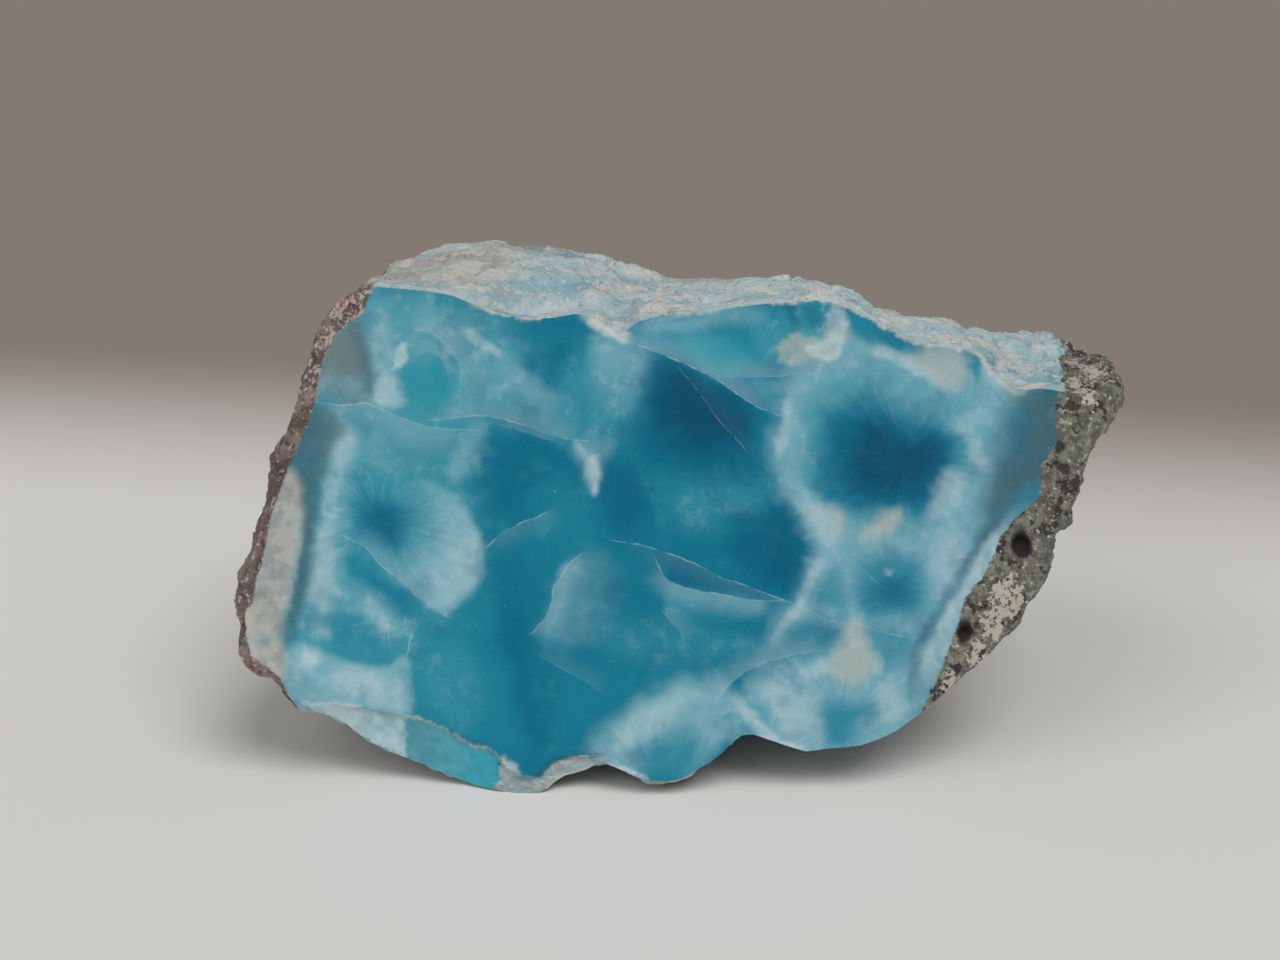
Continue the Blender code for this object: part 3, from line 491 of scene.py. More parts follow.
RIM_MARKINGS = [
    # White crust that shows along the broken top edge
    streak("chalk", 0.12, 0.35, 0.95, [
        (-18.4, 51), (-16.3, 49.8), (-13.1, 49), (-10, 49), (-7.8, 49.8), (-6.2, 49.5)]),
    streak("milk", 0.35, 0.5, 0.85, [(-6.2, 49.3), (-4.7, 48.3), (-2.7, 47.2), (-0.2, 46.2)]),
    streak("chalk", 0.15, 0.4, 0.75, [(-6, 49.4), (-4.7, 48.5), (-2.9, 47.5), (-1, 46.9)]),
    streak("chalk", 0.12, 0.35, 0.9, [
        (-0.9, 47.9), (1.5, 48.8), (4.7, 49.6), (7.3, 49.6), (9.4, 50.5), (12.6, 51), (15, 50.5),
        (18.9, 50.9), (20.7, 50), (23, 49.1), (25.8, 47.8), (28, 46.4), (30.3, 46.4), (31.7, 45.9),
        (34.4, 45.6), (35.6, 43.9), (37.1, 42.2), (38.5, 41.2), (40.1, 41.8), (43, 41.8)]),
]

# Hairline cracks and jagged white veinlets: how plainly each shows, the haze to its left, or to
# its right if negative, and its line
CRACKS = [
    (0.75, -0.3, [
        (-33.2, 40.2), (-30.3, 39.8), (-28.1, 40.2), (-26.9, 39.7), (-24, 38.4), (-21.9, 37.7),
        (-19.1, 37.4), (-16.6, 37.3)]),
    (0.8, 0.3, [
        (-21.9, 38.3), (-19.3, 38.5), (-16.6, 38.9), (-14.2, 38.5), (-11.8, 37.8), (-8.2, 36.5),
        (-5.4, 36.2)]),
    (0.3, 0.03, [(4.1, 43.5), (6.5, 40.7), (7.6, 38.8), (9.4, 36.9), (11.2, 34.8), (12.9, 33.4)]),
    (0.95, 0.3, [
        (-2.7, 47.1), (0.6, 45.7), (3.5, 44.6), (6.2, 43.4), (8.8, 41.9), (11.6, 39.8), (14.4, 38.8)]),
    (0.5, 0.25, [(6.5, 43.5), (8.8, 42.7), (12.6, 42.8), (17.9, 43.1)]),
    (0.8, -0.1, [
        (-2.5, 26), (0.5, 25.5), (3.6, 24.5), (6.5, 23.3), (8.1, 22.2), (10.4, 21.6), (13.4, 20.4),
        (16.3, 19.4), (19.4, 17.7), (22.3, 17.6), (24.5, 16.7), (27.1, 16.2)]),
    (0.65, -0.45, [(1.6, 24.1), (2.7, 21.8), (5.7, 20.9), (8.1, 20.6), (11.2, 19.9), (14.5, 19.9)]),
    (0.9, 0.25, [
        (-30.1, 26.4), (-28.1, 25.4), (-26.9, 23.8), (-24.2, 21.7), (-22.6, 20.1), (-19.9, 18.4)]),
    (0.7, -0.15, [
        (-15.6, 25.4), (-13.9, 27.1), (-13.1, 27.3), (-11.8, 28.1), (-10.9, 28.2), (-9.6, 28.9),
        (-8.2, 29.7)]),
    (0.8, 0.35, [
        (-5.9, 24.7), (-7.5, 23.5), (-8.2, 22), (-8.9, 21.4), (-8.9, 20), (-9.6, 18.1), (-11, 16.6)]),
    (0.45, 0.35, [
        (7.5, 8.9), (8.2, 10.3), (9.7, 11.9), (11.7, 13.1), (13.7, 13.8), (16.4, 14.5), (19.4, 14.8)]),
    (0.35, 0, [(26.7, 28), (29.8, 26)]),
    (0.35, 0, [(21.5, 24.1), (24.9, 21.2)]),
    (0.35, 0.3, [
        (-22.6, 48.8), (-20.4, 46.6), (-19.5, 45.1), (-17.4, 43.5), (-17, 42.3), (-17.6, 41.2)]),
    (0.35, 0.2, [(-14.3, 37.9), (-11.8, 37.1), (-8.2, 35.9)]),
    (0.35, -0.25, [(-25.1, 37.8), (-22.5, 36.7), (-18.9, 36.7)]),
    (0.6, 0, [(-25.8, 16.7), (-25.4, 14.3)]),
    (0.7, 0, [(-23.3, 16.5), (-23.9, 14.3)]),
    (0.3, 0.3, [(-24, 47.8), (-21.6, 47.4), (-19, 45.6), (-18.2, 43), (-18.6, 41)]),
    (0.3, 0.25, [(-23.4, 44.9), (-21.4, 45.5), (-20.2, 44.6), (-19.5, 42.6)]),
    (0.2, 0.1, [(-11, 14.6), (-7.4, 12.6), (-3.6, 10.4)]),
    (0.25, 0.2, [(2, 19), (3.6, 17.4), (4.6, 15.6)]),
]

# Where the needles of pectolite grow from, how plainly they show and how far they reach
CENTRES = [
    (27, 34.3, 1, 9), (-26.4, 28, 1, 9), (25.8, 20.9, 0.6, 4.5), (7.5, 40, 0.2, 6),
    (15, 25.5, 0.2, 5), (-21.5, 41.5, 0.25, 6), (20.6, 7.5, 0.8, 6), (3.5, -3, 1, 15),
    (-18, 2, 0.25, 14), (-1.5, 30.5, 0.2, 6), (-10.5, 33, 0.2, 6),
    (-28, 15.5, 0.4, 6), (9, 45, 0.3, 6), (-22.8, 35.2, 0.4, 5),
    (34, 44, 0.5, 7), (2, 18, 0.15, 9),
]

# No spot counts as nearer to a centre than this
CENTRE_HEART = 0.05

# Granular nub at the foot of the face
NUB = [
    (-14, 4), (-12.9, 2.2), (-10.2, 1.7), (-9, 3), (-7.2, 3.9), (-3.5, 4.2), (-3.5, 1),
    (-8, -1.5), (-14.3, -1.5), (-15.6, 0.3), (-14.4, 1.3), (-14.5, 2.8),
]

# Smooth hollow under the notch in the top edge
LENS_HOLLOW = [
    (-1.2, 47.4), (3, 48.6), (8, 49.4), (12.5, 50), (15.2, 49.6), (15.8, 46),
    (14.6, 42.8), (9.7, 42.4), (6, 43.2), (2.6, 45), (0, 46.2),
]

# Line along which the rind ends, and line along which the basalt starts
RIND_EDGE = [
    (-27.2, 53), (-27.6, 51.3), (-28.2, 49.3), (-30.2, 48), (-31.4, 46.8), (-32.3, 45),
    (-32.9, 43), (-33.2, 40.3), (-33.8, 38.3), (-34.7, 36.2), (-35.9, 33.6), (-37, 30.9),
    (-37.8, 28.6), (-38.2, 26.5), (-38.7, 23.7), (-39.3, 21.9), (-39.6, 19.9), (-40.4, 18.7),
    (-40.3, 15.8), (-39.7, 14.1), (-38.2, 13), (-36.8, 12), (-35.5, 8),
]
BASALT_EDGE = [
    (42.4, 62), (42.4, 44.5), (43, 41.8), (42.6, 40.4), (42.6, 35.8), (41, 33.7),
    (41, 31.9), (40.8, 30.6), (38.5, 28.3), (36.7, 26.3), (36.2, 24.4), (34.9, 22.1),
    (33, 19.8), (32.6, 17.6), (31.9, 15.7), (31, 13.3), (29.9, 10.6), (28.8, 8.5),
    (26, 2),
]
# Well past the stone's outline
FAR = 90.0

TINTS = list(LarimarTints.__annotations__)
PALE = ("sky", "milk", "cream", "turquoise")
FIBROUS = ("sky", "milk")


def to_face(points):
    """u, v and w, in millimetres, of points in the world, one row each."""
    offsets = (np.asarray(points) - np.array(FACE_FOOT)) / MM
    axes = np.array([RIGHTWARDS, UP_THE_FACE, -OUTWARDS])
    return offsets @ axes.T


def from_face(u, v, w):
    """The point in the world of a point given on the sawn face."""
    return FACE_FOOT + (RIGHTWARDS * u + UP_THE_FACE * v - OUTWARDS * w) * MM


def smooth(values):
    """0 up to 0, 1 from 1 on, and an S-shaped rise between."""
    values = np.clip(values, 0.0, 1.0)
    return values * values * (3.0 - 2.0 * values)


def rounded(line, closed, rounds=2):
    """A line with its corners cut, so that it curves."""
    points = [np.array(p) for p in line]
    for _ in range(rounds):
        legs = list(zip(points, points[1:] + points[:1])) if closed else list(zip(points, points[1:]))
        cut = [p for a, b in legs for p in (a * 0.75 + b * 0.25, a * 0.25 + b * 0.75)]
        points = cut if closed else [points[0]] + cut + [points[-1]]
    return points


def line_distance(spots, line, closed=False):
    """Distance of each spot to a line, its side of the line, and how far along the line it is."""
    legs = list(zip(line, line[1:] + line[:1])) if closed else list(zip(line, line[1:]))
    best = np.full(len(spots), np.inf)
    side = np.ones(len(spots))
    along = np.zeros(len(spots))
    passed = 0.0
    for start, end in legs:
        start = np.array(start)
        leg = np.array(end) - start
        reach = math.hypot(*leg)
        offset = spots - start
        share = np.clip(offset @ leg / reach ** 2, 0.0, 1.0)
        gap = offset - share[:, None] * leg
        distance = np.hypot(gap[:, 0], gap[:, 1])
        nearer = distance < best
        best[nearer] = distance[nearer]
        turn = leg[0] * offset[:, 1] - leg[1] * offset[:, 0]
        side[nearer] = np.where(turn[nearer] < 0.0, -1.0, 1.0)
        along[nearer] = passed + share[nearer] * reach
        passed += reach
    return best, side, along / passed


def inside(spots, outline):
    """Whether each spot lies inside a closed outline."""
    odd = np.zeros(len(spots), bool)
    for (u0, v0), (u1, v1) in zip(outline, outline[1:] + outline[:1]):
        if v0 == v1:
            continue
        between = (spots[:, 1] < v0) != (spots[:, 1] < v1)
        odd ^= between & (spots[:, 0] < u0 + (u1 - u0) * (spots[:, 1] - v0) / (v1 - v0))
    return odd


def noise_at(points, size, shift=0.0):
    """Smooth noise from -1 to 1 at each point, with lumps of the given size."""
    offset = Vector((shift, -shift, 2.0 * shift))
    return np.array([noise.noise(Vector(p) / size + offset) for p in points])


def needle_field(spots):
    """Each spot's direction from its growth centre, its distance from it and the centre's number."""
    centres = np.array(CENTRES)[:, :2]
    gaps = spots[:, None, :] - centres[None, :, :]
    reach = np.hypot(gaps[..., 0], gaps[..., 1])
    nearest = reach.argmin(axis=1)
    rows = np.arange(len(spots))
    distance = np.maximum(reach[rows, nearest], CENTRE_HEART)
    direction = gaps[rows, nearest] / distance[:, None]
    return direction, distance, nearest


# Mesh of the stone. Lengths are in millimetres.

# Corners this close, in metres, are joined
WELD = 2e-6
# A face belongs to the sawn front if it faces this much outwards and lies no deeper than this
FRONT_FACING = 0.62
FRONT_DEPTH = 5.5
# Grid points stay this many spacings off the rim, and are cast onto the solid from this far out
LOOP_CLEARANCE = 0.55
LOOK_FROM = 20.0
# The triangulation keeps what is inside the rim, and merges points this close
KEEP_INSIDE = 1
MERGE_WITHIN = 1e-5
# How often broken faces are halved and eased, and how often the hollow is eased
SPLIT_ROUNDS = 2
SMOOTH_ROUNDS = 2
HOLLOW_ROUNDS = 24
# Relief fades in over these lengths, behind the rim and above the floor
RIM_FADE = 1.4
FLOOR_FADE = 1.2
# Sizes of the forms on broken surfaces, which are stretched along the bedding
BEDDING = (0.55, 1.0, 1.2)
LUMP_SIZE = 5.5
# Roughness, lacunarity and octaves of the lumps and of the nub's grain
LUMP_FRACTAL = (0.9, 2.1, 3)
NUB_FRACTAL = (0.8, 2.2, 3)
PLATE_SIZES = (3.4, 1.6)
SPLINTER_SIZE = 1.3
SPLINTER_LEVEL = 0.4
GRAIN_SIZE = 0.7
GRAIN_HEIGHT = 0.1
NUB_GRAIN_SIZE = 1.3
NUB_GRAIN_HEIGHT = 0.42
CREASE_ANGLE = math.radians(38.0)


def cad_mesh():
    """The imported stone, with its corners joined."""
    bm = bmesh.new()
    bm.from_mesh(frame["nodes"][NODE].data)
    bmesh.ops.remove_doubles(bm, verts=bm.verts[:], dist=WELD)
    bm.normal_update()
    return bm


def pieces_of(faces):
    """Sets of faces that hang together by edges, largest first."""
    left = set(faces)
    groups = []
    while left:
        group = {left.pop()}
        waiting = list(group)
        while waiting:
            face = waiting.pop()
            for edge in face.edges:
                for other in edge.link_faces:
                    if other in left:
                        left.discard(other)
                        group.add(other)
                        waiting.append(other)
        groups.append(group)
    return sorted(groups, key=len, reverse=True)


def split_front(bm):
    """The faces of the sawn face, with its chips and pits."""
    depth = {}
    for vertex, w in zip(bm.verts, to_face([v.co for v in bm.verts])[:, 2]):
        depth[vertex] = w
    facing = [
        face for face in bm.faces
        if face.normal.dot(OUTWARDS) > FRONT_FACING
        and max(depth[v] for v in face.verts) < FRONT_DEPTH
    ]
    front = max(pieces_of(facing), key=lambda group: sum(f.calc_area() for f in group))
    for small in pieces_of(set(bm.faces) - front)[1:]:
        front |= small
    return front


def ordered_loop(bm):
    """The corners along the open edge of a mesh, in order round it."""
    edges = {e for e in bm.edges if len(e.link_faces) == 1}
    links = {}
    for edge in edges:
        for vertex in edge.verts:
            links.setdefault(vertex, []).append(edge)
    for vertex, joined in links.items():
        if len(joined) != 2:
            raise RuntimeError(f"the rim of the sawn face forks at {tuple(vertex.co)}")
    start = min(links, key=lambda v: (v.co.x, v.co.z))
    loop = [start]
    edge = links[start][0]
    while True:
        vertex = edge.other_vert(loop[-1])
        if vertex is start:
            break
        loop.append(vertex)
        edge = next(e for e in links[vertex] if e is not edge)
    if len(loop) != len(links):
        raise RuntimeError("the rim of the sawn face is in several loops")
    return loop


def plate(point, size):
    """Height of a patchwork of flat tilted plates, each about as wide as the given size."""
    # Each plate takes its tilt and its height from noise at multiples of its heart's place
    place = point / size
    heart = noise.voronoi(place)[1][0]
    tilt = Vector((
        noise.noise(heart * 3.1), noise.noise(heart * 3.7 + Vector((5.0, 0.0, 0.0))),
        noise.noise(heart * 4.3 + Vector((0.0, 9.0, 0.0))),
    ))
    return (place - heart).dot(tilt) + 0.5 * noise.noise(heart * 5.3)


def broken_relief(point, sizes):
    """How far a broken surface stands out at a point in millimetres."""
    stretched = Vector([along * share for along, share in zip(point, BEDDING)])
    broad, narrow = (plate(stretched, size) for size in PLATE_SIZES)
    ridge = SPLINTER_LEVEL - abs(noise.noise(stretched / SPLINTER_SIZE))
    lumps = noise.fractal(point / LUMP_SIZE, *LUMP_FRACTAL) * sizes.rubble_height / MM
    plates = (broad + 0.5 * narrow) * sizes.plate_height / MM
    splinters = ridge * sizes.splinter_height / MM
    grain = noise.noise(point / GRAIN_SIZE) * GRAIN_HEIGHT
    return lumps + plates + splinters + grain


def ease(bm, vertices, rounds):
    """Move corners half way to the middle of their neighbours, several times."""
    for _ in range(rounds):
        bmesh.ops.smooth_vert(bm, verts=vertices, factor=0.5, use_axis_x=True, use_axis_y=True,
                              use_axis_z=True)


def refine_broken(bm, sizes):
    """Split the broken faces finely, ease their flat facets and break them up again."""
    for _ in range(SPLIT_ROUNDS):
        bmesh.ops.subdivide_edges(bm, edges=bm.edges[:], cuts=1, use_grid_fill=True)
    rim = set(ordered_loop(bm))
    inner = [v for v in bm.verts if v not in rim]
    ease(bm, inner, SMOOTH_ROUNDS)
    bm.normal_update()
    depths = to_face([v.co for v in inner])[:, 2]
    moves = []
    for vertex, w in zip(inner, depths):
        fade = float(smooth(w / RIM_FADE))
        floor_fade = min(1.0, max(0.0, vertex.co.z / (FLOOR_FADE * MM)))
        lift = broken_relief(vertex.co / MM, sizes) * fade * floor_fade * MM
        moves.append(vertex.normal * lift)
    for vertex, move in zip(inner, moves):
        vertex.co += move
        vertex.co.z = max(vertex.co.z, 0.0)


def nub_relief(point):
    """How far the granular nub at the foot stands out at a point, in millimetres."""
    return NUB_GRAIN_HEIGHT * noise.fractal(point / MM / NUB_GRAIN_SIZE, *NUB_FRACTAL)


def ease_hollow(bm, made, corners):
    """Round off the facets of the hollow under the notch."""
    open_rim = {v for e in bm.edges if e.is_boundary for v in e.verts}
    hollow = [v for v, soft in zip(made, inside(corners, LENS_HOLLOW)) if soft and v not in open_rim]
    ease(bm, hollow, HOLLOW_ROUNDS)


def fill_front(bm, tree, sizes):
    """Fill the open front with fine triangles that lie on the sawn face of the solid."""
    loop = ordered_loop(bm)
    outline = [tuple(row) for row in to_face([v.co for v in loop])[:, :2]]
    area = sum(a[0] * b[1] - b[0] * a[1] for a, b in zip(outline, outline[1:] + outline[:1]))
    if area < 0.0:
        loop.reverse()
        outline.reverse()
    spacing = sizes.sawn_spacing / MM
    corners = np.array(outline)
    low = corners.min(axis=0)
    high = corners.max(axis=0)
    rows = np.arange(low[1], high[1], spacing * math.sqrt(0.75))
    grid = np.array([
        (u + (number % 2) * spacing / 2.0, v)
        for number, v in enumerate(rows)
        for u in np.arange(low[0], high[0], spacing)
    ])
    grid = grid[inside(grid, outline)]
    away, _, _ = line_distance(grid, outline, closed=True)
    grid = grid[away > LOOP_CLEARANCE * spacing]
    count = len(loop)
    points = [Vector(p) for p in outline] + [Vector(p) for p in grid]
    result = delaunay_2d_cdt(points, [], [list(range(count))], KEEP_INSIDE, MERGE_WITHIN)
    made = []
    corners = np.array([tuple(corner) for corner in result[0]])
    nub = inside(corners, NUB)
    for number, (corner, origin) in enumerate(zip(result[0], result[3])):
        if origin and origin[0] < count:
            made.append(loop[origin[0]])
            continue
        start = from_face(corner.x, corner.y, -LOOK_FROM)
        hit, _, _, _ = tree.ray_cast(start, -OUTWARDS)
        if hit is None:
            hit = tree.find_nearest(from_face(corner.x, corner.y, 0.0))[0]
        if nub[number]:
            hit = hit + OUTWARDS * nub_relief(hit) * MM
        made.append(bm.verts.new(hit))
    middles = np.array([
        np.mean([tuple(result[0][i]) for i in triangle], axis=0) for triangle in result[2]
    ])
    rough = inside(middles, NUB)
    for triangle, is_rough in zip(result[2], rough):
        face = bm.faces.new([made[i] for i in triangle])
        face.material_index = 1 if is_rough else 0
    ease_hollow(bm, made, corners)


# Shares of each tint on the surface

# Sizes of the noise, in millimetres, and the offsets that set its parts apart
CLOUD_SIZE = 3.4
WISP_SIZE = 1.3
WISP_SHARE = 0.35
JAG_SIZE = 0.7
CLOUD_AND_WISP_OFFSETS = ((0.0, 3.0), (7.0, 11.0))
JAG_OFFSETS = (5.0, 13.0)
CENTRE_OFFSET = 5.0
# How fine rays are round their centre, how fast they change outwards, and their offset: those
# that shift edges, and those that thin out pale growth
SHIFT_RAYS = (6.0, 0.1, 0.0)
GAP_RAYS = (13.0, 0.2, 17.0)
# Where a growth centre is faint, its rays still show this much
FAINTEST_RAYS = 0.15
# Up to this softness the edge of a marking is crisp
CRISP = 0.4
# Clouds and needles shift an edge further the softer it is, clouds only up to a limit. Jagged
# noise shifts a crisp edge further than a soft one.
CLOUD_SHIFT = 0.2
CLOUD_SHIFT_BY_SOFTNESS = 0.45
SOFTEST = 1.5
NEEDLE_SHIFT = 0.24
CRISP_JAG = 0.35
SOFT_JAG = 0.15
# Cover of a crisp pool and of a streak, how much noise changes each, and the streak's limits
CRISP_COVER = 0.82
CRISP_CHANGE = 0.3
STREAK_COVER = 0.85
STREAK_CHANGE = 0.6
STREAK_LIMITS = (0.3, 1.15)
# Share of a streak's length over which each end fades, and how much rays thin out pale growth
STREAK_ENDS = 0.28
RAY_GAPS = 0.2


def radial_noise(field, fineness, change, offset):
    """Noise drawn out into rays round each growth centre, which change slowly outwards."""
    around = [
        (fineness * d[0], fineness * d[1], change * r + CENTRE_OFFSET * n)
        for d, r, n in zip(*field)
    ]
    return noise_at(around, 1.0, offset)


def warp_fields(spots):
    """Cloudy, jagged and needle-like shifts of about 1 mm, and the rays round growth centres."""
    flat = [(u, v, 0.0) for u, v in spots]
    cloudy = np.stack([
        noise_at(flat, CLOUD_SIZE, cloud) + WISP_SHARE * noise_at(flat, WISP_SIZE, wisp)
        for cloud, wisp in CLOUD_AND_WISP_OFFSETS
    ], axis=1)
    jagged = np.stack([noise_at(flat, JAG_SIZE, offset) for offset in JAG_OFFSETS], axis=1)
    field = needle_field(spots)
    needles = field[0] * radial_noise(field, *SHIFT_RAYS)[:, None]
    plainness = np.array(CENTRES)[field[2], 2]
    rays = smooth(0.5 + radial_noise(field, *GAP_RAYS))
    return cloudy, jagged, needles, rays * (FAINTEST_RAYS + (1.0 - FAINTEST_RAYS) * plainness)


def cover_with(shares, tint, cover):
    """Lay one tint over the shares that are there."""
    shares *= (1.0 - cover)[:, None]
    shares[:, TINTS.index(tint)] += cover


def lay(shares, layer, spots, cloudy, jagged, needles, rays):
    """Cover part of what is there with one more marking."""
    softness = layer["softness"]
    crisp = softness <= CRISP
    cloud_shift = CLOUD_SHIFT + CLOUD_SHIFT_BY_SOFTNESS * min(softness, SOFTEST)
    where = spots + cloudy * cloud_shift + needles * softness * NEEDLE_SHIFT
    where = where + jagged * (CRISP_JAG if crisp else SOFT_JAG)
    if layer["kind"] == "pool":
        outline = [tuple(p) for p in rounded(layer["line"], True, 0 if crisp else 2)]
        distance, _, _ = line_distance(where, outline, closed=True)
        signed = np.where(inside(where, outline), distance, -distance)
        cover = smooth(0.5 + signed / (2.0 * softness))
        if layer["fade"]:
            full, none = (np.array(p) for p in layer["fade"])
            run = none - full
            cover = cover * (1.0 - smooth((where - full) @ run / (run @ run)))
        if crisp:
            cover = cover * (CRISP_COVER + CRISP_CHANGE * jagged[:, 0])
    else:
        distance, _, along = line_distance(where, rounded(layer["line"], False))
        taper = smooth(np.minimum(along, 1.0 - along) / STREAK_ENDS + 0.05)
        cover = (1.0 - smooth((distance - layer["half_width"]) / softness)) * taper
        patchy = cloudy[:, 0] * cloudy[:, 1] * 2.0 + jagged[:, 1] * 0.5
        cover = cover * np.clip(STREAK_COVER + STREAK_CHANGE * patchy, *STREAK_LIMITS)
    if layer["tint"] in FIBROUS and not crisp:
        cover = cover * (1.0 - RAY_GAPS * rays)
    cover_with(shares, layer["tint"], cover * layer["cover"])


def sawn_shares(spots):
    """Shares of the tints on the sawn face."""
    shares = np.zeros((len(spots), len(TINTS)))
    shares[:, TINTS.index("mid")] = 1.0
    warps = warp_fields(spots)
    for layer in (LEFT_MARKINGS + MIDDLE_MARKINGS + LENS_MARKINGS + RIGHT_MARKINGS
                  + FOOT_MARKINGS + RIM_MARKINGS):
        lay(shares, layer, spots, *warps)
    return shares


# On the broken surfaces: where the back starts, where the beige patch at the left of the top ends
# and how deep it starts, how deep the crust at the rear of the top starts, and how far back and
# how low on the face the white crust along the top edge reaches, all in millimetres
BACK_STARTS = 24.0
BEIGE_ENDS = -13.0
BEIGE_STARTS = 5.0
REAR_STARTS = 21.0
RIM_CRUST = 0.75
RIM_CRUST_FOOT = 30.0
# How the colours of broken surfaces are drawn out
GRAIN_RUN = (0.65, 1.0, 0.8)


def broken_shares(points):
    """Shares of the tints on the broken surfaces, by place and by noise."""
    u, v, w = points.T
    stretched = points * np.array(GRAIN_RUN)
    broad = noise_at(points, 9.0, 1.0)
    mottled = noise_at(stretched, 2.2, 2.0)
    fine = noise_at(stretched, 0.9, 5.0)
    dusky = noise_at(stretched, 1.7, 8.0)
    torn = noise_at(stretched, 3.0, 21.0) + 0.5 * noise_at(stretched, 1.1, 23.0)
    crusty = noise_at(points, 6.0, 41.0) + 0.4 * fine
    ragged = mottled + 0.6 * fine
    back = smooth((w - BACK_STARTS) / 6.0)
    topside = 1.0 - back
    beige = smooth((BEIGE_ENDS - u + 4.0 * mottled) / 2.0)
    beige = beige * smooth((w - BEIGE_STARTS + 2.0 * fine) / 3.0)
    rear = smooth((w - REAR_STARTS + 3.0 * mottled) / 3.0) * topside
    crust_width = RIM_CRUST + 1.3 * np.maximum(noise_at(points, 4.0, 31.0), -0.2) + 0.45 * fine
    rim = smooth((crust_width - w) / 0.35 + 0.5) * smooth((v - RIM_CRUST_FOOT) / 8.0)
    shares = np.zeros((len(points), len(TINTS)))
    shares[:, TINTS.index("ice")] = 1.0
    for tint, cover in (
        ("turquoise", smooth((ragged + 0.4 * broad - 0.4) / 0.25) * 0.4),
        ("slate", smooth((dusky - 0.28) / 0.2) * 0.25),
        ("mid", smooth((broad - 0.05) / 0.4) * 0.5 * back),
        ("milk", smooth((-ragged - 0.05) / 0.3) * 0.7),
        ("chalk", smooth((torn - 0.2) / 0.12) * 0.6),
        ("blush", beige * 0.85 * topside),
        ("chalk", beige * topside * smooth((torn + 0.1) / 0.25) * 0.55),
        ("blush", rear * 0.6),
        ("chalk", rear * smooth((fine + 0.1) / 0.3) * 0.6),
        ("rind", smooth((broad + 0.6 * mottled + 0.3 * fine - 0.2) / 0.2) * 0.5 * back),
        ("blush", smooth(crusty / 0.3) * 0.5 * back),
        ("chalk", rim * 0.85),
    ):
        cover_with(shares, tint, cover)
    return shares


# On the top the basalt starts here, and further right with depth
TOP_BASALT = 43.2
BASALT_LEAN = 0.24
# The top is what faces up above this height, and the rind coats what faces left beyond this line.
# A surface faces a way if that part of its normal is more than this.
TOP_FOOT = 40.0
RIND_COATS = -24.0
FACING = 0.35


def past_edge(spots, edge, side):
    """Signed distance past an edge, towards one side of the stone."""
    outline = edge + [(side, edge[-1][1]), (side, edge[0][1])]
    distance, _, _ = line_distance(spots, edge)
    return np.where(inside(spots, outline), distance, -distance)


def rock_sides(points, normals):
    """Signed distances, in millimetres, into the rind and into the basalt."""
    u, v, w = points.T
    rind = past_edge(points[:, :2], RIND_EDGE, -FAR)
    outer_left = np.maximum(-normals[:, 0] - FACING, 0.0) * 6.0 * smooth((RIND_COATS - u) / 5.0)
    rind = np.maximum(rind, (outer_left - 0.8) * smooth(w + 0.3) + rind * 0.2)
    basalt = past_edge(points[:, :2], BASALT_EDGE, FAR)
    leaning = u - (TOP_BASALT + BASALT_LEAN * w)
    leaning = leaning + 1.3 * noise_at(points, 2.6, 51.0) + 0.6 * noise_at(points, 1.0, 53.0)
    upward = smooth((normals[:, 2] - FACING) / 0.2) * smooth((v - TOP_FOOT) / 1.5)
    basalt = basalt * (1.0 - upward) + np.minimum(basalt, leaning) * upward
    basalt = basalt + smooth(w / 6.0) * 0.6 * noise_at(points, 5.0, 4.0)
    return rind, basalt


# Millimetres from a crack up to which it shows in full, over which it fades out, and that its
# haze reaches, and the share of its length over which each end of the haze fades
CRACK_CORE = 0.25
CRACK_FADE = 0.45
HAZE_REACH = 2.6
HAZE_ENDS = 0.2


def crack_fields(spots, cracks):
    """Signed distance to the nearest crack, how plainly it shows, and the haze beside it."""
    side = np.full(len(spots), 1.0)
    plain = np.zeros(len(spots))
    haze = np.zeros(len(spots))
    nearest = np.full(len(spots), np.inf)
    for strength, hazy, line in cracks:
        distance, turn, along = line_distance(spots, rounded(line, False, 1))
        closer = distance < nearest
        nearest[closer] = distance[closer]
        side[closer] = (distance * turn * math.copysign(1.0, hazy))[closer]
        plain[closer] = (strength * (1.0 - smooth((distance - CRACK_CORE) / CRACK_FADE)))[closer]
        ends = smooth(np.minimum(along, 1.0 - along) / HAZE_ENDS)
        haze[closer] = (abs(hazy) * ends * (1.0 - smooth(distance / HAZE_REACH)))[closer]
    return np.clip(side, -1.0, 1.0), plain, haze


# Round patches on the basalt: centre and radius. They are a little taller than wide, and ragged.
PATCH_SQUASH = 0.75
PATCH_RAGGED = 0.4
CHALK_PATCHES = [
    ((37.6, 20.2), 1.7), ((36.2, 17.4), 1.3), ((34.4, 14.6), 1.0), ((31.8, 11.2), 0.9),
    ((45.8, 41.6), 1.0), ((47.6, 43.8), 0.9),
]
DARK_PITS = [((39.0, 25.6), 1.15), ((33.2, 16.6), 0.85)]


def spot_mask(spots, places, softness):
    """1 within a spot, falling to 0 over the softness round it."""
    mask = np.zeros(len(spots))
    ragged = PATCH_RAGGED * noise_at([(u, v, 0.0) for u, v in spots], 0.9, 61.0)
    for (u, v), radius in places:
        away = np.hypot(spots[:, 0] - u, (spots[:, 1] - v) * PATCH_SQUASH) + ragged
        mask = np.maximum(mask, 1.0 - smooth((away - radius) / softness + 0.5))
    return mask


# Height on the face above which rind and basalt are dusted with white crystals
SUGARY_FROM = 38.0
# Fibres start this many millimetres from their centre, and fade out from this share of its
# reach over this further share
FIBRES_START = 1.5
FIBRES_FADE_FROM = 0.5
FIBRES_FADE_OVER = 0.7
# The needles' third coordinate: millimetres for one step, and steps from one centre to the next
NEEDLE_STEP = 32.0
CENTRE_STEPS = 3.0


